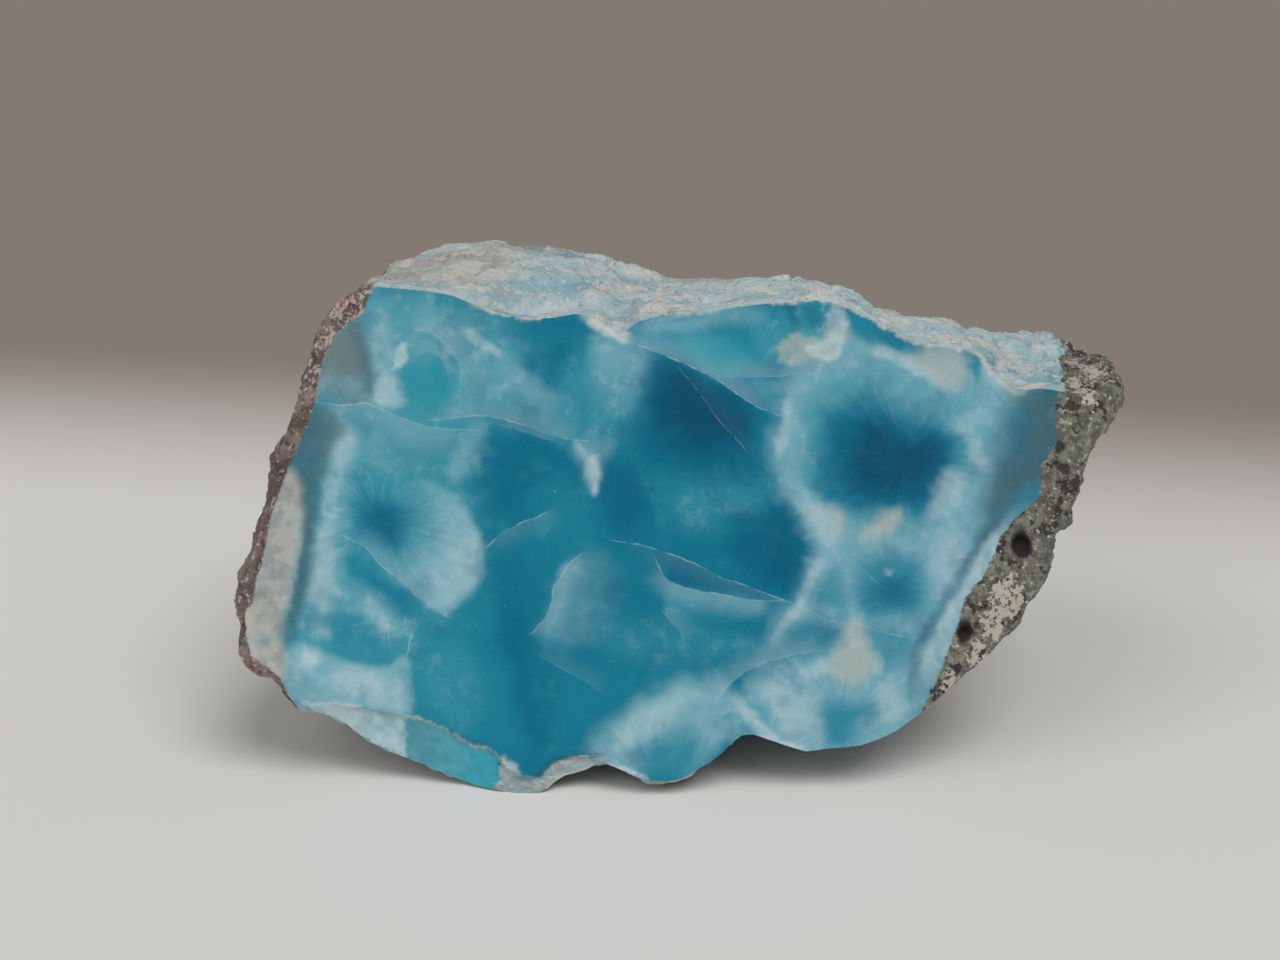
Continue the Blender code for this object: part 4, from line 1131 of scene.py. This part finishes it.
def write_attributes(mesh, tints):
    """Put what the materials read onto the mesh's corners."""
    count = len(mesh.vertices)
    co = np.zeros(count * 3)
    mesh.vertices.foreach_get("co", co)
    points = to_face(co.reshape(-1, 3))
    normal = np.zeros(count * 3, np.float32)
    mesh.vertex_normals.foreach_get("vector", normal)
    normals = normal.reshape(-1, 3).astype(float)
    sawn = np.zeros(count, bool)
    for polygon in mesh.polygons:
        if polygon.material_index == 0:
            sawn[list(polygon.vertices)] = True
    spots = points[:, :2]
    sawn |= inside(spots, NUB) & (points[:, 2] < FRONT_DEPTH)
    shares = np.zeros((count, len(TINTS)))
    shares[sawn] = sawn_shares(spots[sawn])
    shares[~sawn] = broken_shares(points[~sawn])

    def share(*names):
        return shares[:, [TINTS.index(name) for name in names]].sum(axis=1)

    rind, basalt = rock_sides(points, normals)
    direction, distance, nearest = needle_field(spots)
    palette = np.array([list(getattr(tints, name)) for name in TINTS])
    glaze = np.ones((count, 4))
    glaze[:, :3] = shares @ palette
    plainness, reach = np.array(CENTRES)[nearest, 2:].T
    faded = smooth((distance / reach - FIBRES_FADE_FROM) / FIBRES_FADE_OVER)
    fibrous = plainness * (1.0 - faded) * smooth(distance / FIBRES_START)
    outwards = distance / NEEDLE_STEP + nearest * CENTRE_STEPS
    vector = np.stack([direction[:, 0], direction[:, 1], outwards], axis=1)
    scalars = {
        "rind": rind, "basalt": basalt, "pale": share(*PALE), "fibrous": fibrous,
        "sugary": smooth((points[:, 1] - SUGARY_FROM) / 9.0), "clear_strip": share("grey"),
        "shallow": 1.0 - share("deep") - 0.6 * share("blue"), "icy": 1.0 - share("blush", "rind"),
        "chalk": spot_mask(spots, CHALK_PATCHES, 1.5), "pit": spot_mask(spots, DARK_PITS, 0.4),
    }
    for number, cracks in (("1", CRACKS[0::2]), ("2", CRACKS[1::2])):
        side, plain, haze = crack_fields(spots, cracks)
        scalars[f"crack_{number}_side"] = side
        scalars[f"crack_{number}_plain"] = np.where(sawn, plain, 0.0)
        scalars[f"crack_{number}_haze"] = np.where(sawn, haze, 0.0)
    layers = [("glaze", "FLOAT_COLOR", "color", glaze), ("needles", "FLOAT_VECTOR", "vector", vector)]
    layers += [(name, "FLOAT", "value", values) for name, values in scalars.items()]
    for name, kind, field, values in layers:
        attribute = mesh.attributes.new(name, kind, "POINT")
        attribute.data.foreach_set(field, values.astype(np.float32).ravel())


# Materials

PECTOLITE_IOR = 1.6
# Cracks as they show on the face: half width of the bright thread in millimetres, and its cover
THREAD_WIDTH = 0.11
THREAD_COVER = 0.62
SMOOTH = {"interpolation_type": "SMOOTHSTEP"}
COLOURS = {"data_type": "RGBA"}


def add_node(tree, kind, *inputs, output="", **settings):
    """Add a node, set its properties, fill or link its inputs in order, and give one output."""
    node = tree.nodes.new("ShaderNode" + kind)
    for name, value in settings.items():
        setattr(node, name, value)
    for socket, value in zip([s for s in node.inputs if s.enabled], inputs):
        if isinstance(value, bpy.types.NodeSocket):
            tree.links.new(value, socket)
        elif value is not None:
            socket.default_value = (*value, 1.0) if socket.type == "RGBA" else value
    return next(s for s in node.outputs if s.enabled and output in ("", s.name))


def start_material(name, roughness=0.5, specular=0.5):
    """A new material with its shader, a way to add nodes to it, and the place on the object."""
    material = bpy.data.materials.new(name)
    material.use_nodes = True
    shader = material.node_tree.nodes["Principled BSDF"]
    shader.inputs["Roughness"].default_value = roughness
    shader.inputs["Specular IOR Level"].default_value = specular
    add = partial(add_node, material.node_tree)
    return material, shader, add, add("TexCoord", output="Object")


def lumps(millimetres):
    """Scale of a pattern whose lumps have a real size."""
    return 1.0 / (millimetres * MM)


def stained(add, place, tint, stains):
    """Lay ragged patches over a tint: the size of their lumps, detail, noise where they start and
    are full, cover, and colour. A start above the full value lays them where the noise is low."""
    for size, detail, start, full, cover, stain in stains:
        pattern = add("TexNoise", place, lumps(size), detail, 0.6)
        share = add("MapRange", pattern, start, full, 0.0, cover, **SMOOTH)
        tint = add("Mix", share, tint, linear(stain), **COLOURS)
    return tint


def over(add, tint, patches):
    """Lay a list of shares and colours over a tint."""
    for share, patch in patches:
        tint = add("Mix", share, tint, patch, **COLOURS)
    return tint


def rind_colour(add, place):
    """Weathered skin: brown-grey clay and iron stain, speckled pinkish white and dull red."""
    tint = stained(add, place, linear("#5b504b"), (
        (4.5, 4.0, 0.38, 0.62, 1.0, "#8b7f78"),
        (2.2, 4.0, 0.53, 0.64, 0.6, "#7d5257"),
        (0.7, 4.0, 0.47, 0.36, 0.75, "#3b3330"),
    ))
    fine = add("TexNoise", place, lumps(0.6), 4.0, 0.65)
    sugary = add("Attribute", output="Fac", attribute_name="sugary")
    crystals = add("Math", sugary, 0.1, fine, operation="MULTIPLY_ADD")
    return over(add, tint, [
        (add("MapRange", crystals, 0.56, 0.66, 0.0, 0.8, **SMOOTH), linear("#b8aaa4"))])


def basalt_colour(add, place):
    """Altered basalt: grey-green ground, dark brown gas pits and chalky fillings."""
    tint = stained(add, place, linear("#5b5a52"), (
        (1.1, 3.0, 0.35, 0.65, 1.0, "#858679"),
        (0.7, 2.0, 0.55, 0.68, 0.5, "#748678"),
        (0.3, 2.0, 0.53, 0.63, 0.7, "#4d4946"),
    ))
    sugary, chalk, pit = (
        add("Attribute", output="Fac", attribute_name=name) for name in ("sugary", "chalk", "pit"))
    blotches = add("TexNoise", place, lumps(1.5), 2.5, 0.6)
    blotches = add("Math", sugary, 0.04, blotches, operation="MULTIPLY_ADD")
    fillings = add("TexNoise", place, lumps(0.55), 3.0, 0.6)
    fillings = add("Math", chalk, 0.2, fillings, operation="MULTIPLY_ADD")
    fillings = add("Math", sugary, 0.06, fillings, operation="MULTIPLY_ADD")
    return over(add, tint, [
        (add("MapRange", blotches, 0.55, 0.6, 0.0, 0.92, **SMOOTH), linear("#3a3031")),
        (add("MapRange", fillings, 0.6, 0.68, **SMOOTH), linear("#b7b0a5")),
        (pit, linear("#2c2726")),
    ])


def rock_mask(add, place, name, width):
    """A crisp but ragged margin between two minerals."""
    ragged = add("TexNoise", place, lumps(0.6), 3.0, 0.55)
    ragged = add("Math", ragged, 0.9, -0.45, operation="MULTIPLY_ADD")
    inward = add("Math", add("Attribute", output="Fac", attribute_name=name), ragged)
    return add("MapRange", inward, -width, width, **SMOOTH)


def hairlines(add, place):
    """Fine cracks, and the haze on one side of each where it runs back under the surface."""
    wander = add("TexNoise", place, lumps(0.6), 3.0, 0.55)
    wander = add("Math", wander, 0.3, -0.15, operation="MULTIPLY_ADD")
    gaps = add("TexNoise", place, lumps(1.6), 3.0, 0.6)
    gaps = add("MapRange", gaps, 0.38, 0.64, 0.1, 1.0, **SMOOTH)
    threads = []
    hazes = []
    for number in ("1", "2"):
        side, plain, haze = (
            add("Attribute", output="Fac", attribute_name=f"crack_{number}_{field}")
            for field in ("side", "plain", "haze"))
        side = add("Math", side, wander)
        away = add("Math", side, operation="ABSOLUTE")
        thread = add("MapRange", away, 0.0, THREAD_WIDTH, THREAD_COVER, 0.0, **SMOOTH)
        thread = add("Math", thread, gaps, operation="MULTIPLY")
        threads.append(add("Math", thread, plain, operation="MULTIPLY"))
        behind = add("MapRange", side, -0.05, 0.05, **SMOOTH)
        hazes.append(add("Math", behind, haze, operation="MULTIPLY"))
    return add("Math", *threads, operation="MAXIMUM"), add("Math", *hazes, operation="MAXIMUM")


def sawn_larimar(tints):
    """Pectolite cut by a diamond saw and left unpolished."""
    # Saw-cut pectolite is silky: its blue shows deep, and needles show just under the surface.
    # Real needles are 0.02 mm thick and are drawn about ten times as coarse.
    material, shader, add, place = start_material("saw_cut_pectolite", specular=0.14)
    milk, turquoise, blue = (tuple(getattr(tints, name)) for name in ("milk", "turquoise", "blue"))
    pale, fibrous, clear, shallow = (
        add("Attribute", output="Fac", attribute_name=name)
        for name in ("pale", "fibrous", "clear_strip", "shallow"))
    # Needles, mostly where the growth is pale
    along_needles = add("Attribute", output="Vector", attribute_name="needles")
    needles = add("TexNoise", along_needles, 14.0, 3.0, 0.6)
    in_the_pale = add("Math", pale, 0.92, 0.08, operation="MULTIPLY_ADD")
    fibrous = add("Math", fibrous, in_the_pale, operation="MULTIPLY")
    silky = add("MapRange", needles, 0.45, 0.75, 0.0, 0.26, **SMOOTH)
    shaded = add("MapRange", needles, 0.55, 0.25, 0.0, 0.22, **SMOOTH)
    # Woolly growth between the needles
    clouds = add("TexNoise", place, lumps(1.6), 4.0, 0.6)
    wool = add("MapRange", clouds, 0.5, 0.7, 0.0, 0.26, **SMOOTH)
    thin = add("MapRange", clouds, 0.47, 0.3, 0.0, 0.26, **SMOOTH)
    woolly = add("Math", fibrous, -0.8, pale, operation="MULTIPLY_ADD", use_clamp=True)
    # Soft changes of the blue
    lighter = add("TexNoise", place, lumps(3.5), 3.0, 0.55)
    lighter = add("MapRange", lighter, 0.54, 0.74, 0.0, 0.3, **SMOOTH)
    darker = add("TexNoise", place, lumps(5.0), 2.0, 0.5)
    darker = add("MapRange", darker, 0.48, 0.32, 0.0, 0.28, **SMOOTH)
    # Grit from the saw, and white specks in swarms
    grit = add("TexNoise", place, lumps(0.35), 3.0, 0.6)
    frost = add("MapRange", grit, 0.5, 0.75, 0.0, 0.14, **SMOOTH)
    sparse = add("MapRange", add("TexNoise", place, lumps(4.0)), 0.54, 0.6, **SMOOTH)
    speckles = add("TexVoronoi", place, lumps(3.1))
    speckles = add("MapRange", speckles, 0.045, 0.015, 0.0, 0.35, **SMOOTH)
    # Grains and dusky clouds of the clear strip
    grains = add("MapRange", add("TexVoronoi", place, lumps(1.1)), 0.2, 0.08, 0.0, 0.6, **SMOOTH)
    grains = add("Math", grains, sparse, operation="MULTIPLY")
    dusky = add("MapRange", clouds, 0.56, 0.38, 0.0, 0.6, **SMOOTH)
    thread, haze = hairlines(add, place)
    tint = over(add, add("Attribute", output="Color", attribute_name="glaze"), [
        (add("Math", lighter, shallow, operation="MULTIPLY"), turquoise),
        (darker, blue),
        (add("Math", silky, fibrous, operation="MULTIPLY"), milk),
        (add("Math", shaded, fibrous, operation="MULTIPLY"), turquoise),
        (add("Math", wool, woolly, operation="MULTIPLY"), milk),
        (add("Math", thin, woolly, operation="MULTIPLY"), turquoise),
        (add("Math", frost, shallow, operation="MULTIPLY"), turquoise),
        (add("Math", speckles, sparse, operation="MULTIPLY"), milk),
        (add("Math", dusky, clear, operation="MULTIPLY"), linear("#7f8a8a")),
        (add("Math", grains, clear, operation="MULTIPLY"), linear("#cfcfcb")),
        (haze, linear("#8fb4bf")),
        (thread, linear("#b4d0d6")),
    ])
    basalt = rock_mask(add, place, "basalt", 0.12)
    rind = rock_mask(add, place, "rind", 0.15)
    tint = over(add, tint, [(basalt, basalt_colour(add, place)), (rind, rind_colour(add, place))])
    rock = add("Math", basalt, rind, operation="MAXIMUM")
    silk = add("MapRange", needles, 0.3, 0.7, 0.3, 0.38, **SMOOTH)
    rough = add("Math", rock, 0.42, silk, operation="MULTIPLY_ADD")
    height = add("Math", grit, rock, operation="MULTIPLY")
    height = add("Math", thread, -0.25, height, operation="MULTIPLY_ADD")
    height = add("Math", needles, 0.05, height, operation="MULTIPLY_ADD")
    bump = add("Bump", 0.7, 0.25 * MM, None, height)
    links = material.node_tree.links
    links.new(tint, shader.inputs["Base Color"])
    links.new(rough, shader.inputs["Roughness"])
    links.new(bump, shader.inputs["Normal"])
    shader.inputs["IOR"].default_value = PECTOLITE_IOR
    shader.inputs["Subsurface Weight"].default_value = 0.15
    shader.inputs["Subsurface Radius"].default_value = (0.5, 0.9, 1.0)
    shader.inputs["Subsurface Scale"].default_value = 1.2 * MM
    return material


def broken_larimar(tints):
    """Pectolite as the hammer left it."""
    # Broken pectolite parts into flat splintery plates: icy blue and a little glossy where they are
    # clean, dull cream white where their edges are bruised, and blue-grey painted shade in the hollows
    # between the splinters.
    material, shader, add, place = start_material("hammer_broken_pectolite", specular=0.4)
    milk, sky, chalk = (tuple(getattr(tints, name)) for name in ("milk", "sky", "chalk"))
    stretched = add("Mapping", place, None, None, (0.6, 0.9, 1.0))
    wobble = add("TexNoise", place, lumps(1.7), 3.0, 0.6, output="Color")
    bent = add("VectorMath", wobble, (1.5 * MM,) * 3, stretched, operation="MULTIPLY_ADD")
    plates = add("TexVoronoi", bent, lumps(3.6), output="Color")
    seams = add("TexVoronoi", bent, lumps(3.6), feature="DISTANCE_TO_EDGE")
    splinters = add("TexNoise", stretched, lumps(0.5), 5.0, 0.6)
    torn = add("TexNoise", stretched, lumps(3.0), 5.0, 0.62)
    crumbs = add("TexNoise", place, lumps(0.35), 4.0, 0.65)
    icy = add("Attribute", output="Fac", attribute_name="icy")
    light_plates = add("MapRange", plates, 0.5, 0.62, 0.0, 0.55, **SMOOTH)
    blue_plates = add("MapRange", plates, 0.46, 0.34, 0.0, 0.5, **SMOOTH)
    rims = add("MapRange", seams, 0.06, 0.0, 0.0, 0.45, **SMOOTH)
    # Painted shade: blue-grey where the splinter noise is low, in the hollows between the splinters
    painted_splinter_shade = add("MapRange", splinters, 0.46, 0.32, 0.0, 0.3, **SMOOTH)
    bruised = add("MapRange", torn, 0.54, 0.57, 0.0, 0.6, **SMOOTH)
    tint = over(add, add("Attribute", output="Color", attribute_name="glaze"), [
        (add("Math", light_plates, icy, operation="MULTIPLY"), milk),
        (add("Math", blue_plates, icy, operation="MULTIPLY"), sky),
        (add("Math", rims, icy, operation="MULTIPLY"), chalk),
        # painted shade in the hollows between the splinters
        (add("Math", painted_splinter_shade, icy, operation="MULTIPLY"), linear("#6f8f98")),
        (add("Math", bruised, icy, operation="MULTIPLY"), chalk),
    ])
    tint = stained(add, place, tint, (
        (1.3, 5.0, 0.59, 0.66, 0.5, "#84756c"),
        (0.8, 4.0, 0.56, 0.64, 0.45, "#e2ded5"),
    ))
    basalt = rock_mask(add, place, "basalt", 0.2)
    rind = rock_mask(add, place, "rind", 0.35)
    tint = over(add, tint, [(basalt, basalt_colour(add, place)), (rind, rind_colour(add, place))])
    rough = add("MapRange", torn, 0.45, 0.58, 0.48, 0.75, **SMOOTH)
    height = add("Math", splinters, 0.8, crumbs, operation="MULTIPLY_ADD")
    height = add("Math", plates, 0.6, height, operation="MULTIPLY_ADD")
    height = add("Math", bruised, 0.5, height, operation="MULTIPLY_ADD")
    bump = add("Bump", 0.9, 0.4 * MM, None, height)
    links = material.node_tree.links
    links.new(tint, shader.inputs["Base Color"])
    links.new(rough, shader.inputs["Roughness"])
    links.new(bump, shader.inputs["Normal"])
    shader.inputs["IOR"].default_value = PECTOLITE_IOR
    return material


# The pale floor turns to its surroundings between these distances behind the stone, in metres,
# along a line that slants
FLOOR_TURNS = (0.046, 0.165)
FLOOR_SLANT = 0.21


def painted_floor(settings):
    """Matt emulsion paint, rolled on."""
    # Rolled matt paint scatters light evenly, so the floor only shows soft shadows. It turns from
    # the pale floor to the warm grey beyond it on a slanted line behind the stone.
    material, shader, add, place = start_material("matt_floor_paint", 0.75, 0.25)
    across = add("SeparateXYZ", place, output="X")
    back = add("SeparateXYZ", place, output="Y")
    slanted = add("Math", across, FLOOR_SLANT, back, operation="MULTIPLY_ADD")
    far = add("MapRange", slanted, *FLOOR_TURNS, **SMOOTH)
    paint = over(add, tuple(settings.floor), [(far, tuple(settings.surroundings))])
    material.node_tree.links.new(paint, shader.inputs["Base Color"])
    return material


# Directions towards the lights, and how broad each looks in degrees
KEY_TOWARDS = (0.30, -0.46, 0.84)
KEY_BREADTH = 34.0
FILL_TOWARDS = (-0.50, -0.52, 0.69)
FILL_BREADTH = 44.0
# How far from the stone the lights' objects stand, and half the floor's width, in metres
LAMP_DISTANCE = 0.5
FLOOR_REACH = 12.0
WARM_WHITE = (1.0, 0.98, 0.95, 1.0)
# The camera's lens and sensor in millimetres, the height on the face that it looks at, and its
# nearest clipping distance in metres
LENS = 49.45
SENSOR = 36.0
AIM_HEIGHT = 32.21
CLIP_START = 0.01


# Operators

class MESH_OT_larimar_stone(bpy.types.Operator):
    """Build the stone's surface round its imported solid"""

    bl_idname = "mesh.larimar_stone"
    bl_label = "Larimar Stone"

    def execute(self, context):
        sizes = context.scene.larimar_sizes
        tints = context.scene.larimar_tints
        bm = cad_mesh()
        front = split_front(bm)
        corners = list({v for face in front for v in face.verts})
        number = {vertex: i for i, vertex in enumerate(corners)}
        tree = BVHTree.FromPolygons(
            [v.co.copy() for v in corners], [[number[v] for v in f.verts] for f in front]
        )
        bmesh.ops.delete(bm, geom=list(front), context="FACES")
        refine_broken(bm, sizes)
        for face in bm.faces:
            face.material_index = 1
        fill_front(bm, tree, sizes)
        bm.normal_update()
        for face in bm.faces:
            face.smooth = True
        for edge in bm.edges:
            edge.smooth = len(edge.link_faces) == 2 and edge.calc_face_angle(0.0) < CREASE_ANGLE
        mesh = bpy.data.meshes.new("larimar_stone_surface")
        bm.to_mesh(mesh)
        bm.free()
        mesh.materials.append(sawn_larimar(tints))
        mesh.materials.append(broken_larimar(tints))
        write_attributes(mesh, tints)
        stone = bpy.data.objects.new("larimar_stone_surface", mesh)
        context.scene.collection.objects.link(stone)
        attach(stone, BODY)
        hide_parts(NODE)
        return {"FINISHED"}


class SCENE_OT_larimar_studio(bpy.types.Operator):
    """Set the pale floor, the soft light and the camera"""

    bl_idname = "scene.larimar_studio"
    bl_label = "Larimar Studio"

    def execute(self, context):
        settings = context.scene.larimar_studio
        self.floor(context, settings)
        self.lights(context, settings)
        self.camera(context, settings)
        context.scene.view_settings.view_transform = "Standard"
        return {"FINISHED"}

    def floor(self, context, settings):
        """A matt pale floor that fades into its warm grey surroundings."""
        bm = bmesh.new()
        bmesh.ops.create_grid(bm, x_segments=8, y_segments=8, size=FLOOR_REACH)
        mesh = bpy.data.meshes.new("floor")
        bm.to_mesh(mesh)
        bm.free()
        floor = bpy.data.objects.new("floor", mesh)
        context.scene.collection.objects.link(floor)
        mesh.materials.append(painted_floor(settings))
        world = bpy.data.worlds.new("soft_room")
        world.use_nodes = True
        background = world.node_tree.nodes["Background"]
        background.inputs["Color"].default_value = WARM_WHITE
        background.inputs["Strength"].default_value = settings.room_strength
        context.scene.world = world

    def lights(self, context, settings):
        """Broad light from above and in front, and a weaker one from the upper left."""
        self.lamp(context, "key", KEY_TOWARDS, KEY_BREADTH, settings.key_strength)
        self.lamp(context, "fill", FILL_TOWARDS, FILL_BREADTH, settings.fill_strength)

    def lamp(self, context, name, towards, breadth, strength):
        data = bpy.data.lights.new(name, "SUN")
        data.angle = math.radians(breadth)
        data.energy = strength
        lamp = bpy.data.objects.new(name, data)
        lamp.location = Vector(towards) * LAMP_DISTANCE
        lamp.rotation_euler = Vector(towards).to_track_quat("Z", "Y").to_euler()
        context.scene.collection.objects.link(lamp)

    def camera(self, context, settings):
        """Look square at the sawn face, from the photograph's distance."""
        data = bpy.data.cameras.new("camera")
        data.sensor_width = SENSOR
        data.lens = LENS
        data.clip_start = CLIP_START
        camera = bpy.data.objects.new("camera", data)
        camera.location = from_face(0.0, AIM_HEIGHT, -settings.distance / MM)
        camera.rotation_euler = (-OUTWARDS).to_track_quat("-Z", "Y").to_euler()
        context.scene.collection.objects.link(camera)
        context.scene.camera = camera


class VIEW3D_PT_larimar(bpy.types.Panel):
    """Buttons and settings of the specimen"""

    bl_label = "Rough Larimar"
    bl_space_type = "VIEW_3D"
    bl_region_type = "UI"
    bl_category = "Larimar"

    def draw(self, context):
        layout = self.layout
        layout.operator(MESH_OT_larimar_stone.bl_idname)
        layout.operator(SCENE_OT_larimar_studio.bl_idname)
        for group in ("larimar_tints", "larimar_sizes", "larimar_studio"):
            holder = getattr(context.scene, group)
            for name in holder.__annotations__:
                layout.prop(holder, name)


CLASSES = (
    LarimarTints, LarimarSizes, StudioSettings, MESH_OT_larimar_stone, SCENE_OT_larimar_studio,
    VIEW3D_PT_larimar,
)
GROUPS = {
    "larimar_tints": LarimarTints, "larimar_sizes": LarimarSizes, "larimar_studio": StudioSettings,
}


def register():
    for item in CLASSES:
        bpy.utils.register_class(item)
    for name, group in GROUPS.items():
        setattr(bpy.types.Scene, name, bpy.props.PointerProperty(type=group))


def unregister():
    for name in GROUPS:
        delattr(bpy.types.Scene, name)
    for item in reversed(CLASSES):
        bpy.utils.unregister_class(item)


def main():
    register()
    bpy.ops.mesh.larimar_stone()
    bpy.ops.scene.larimar_studio()


if __name__ == "__main__":
    main()
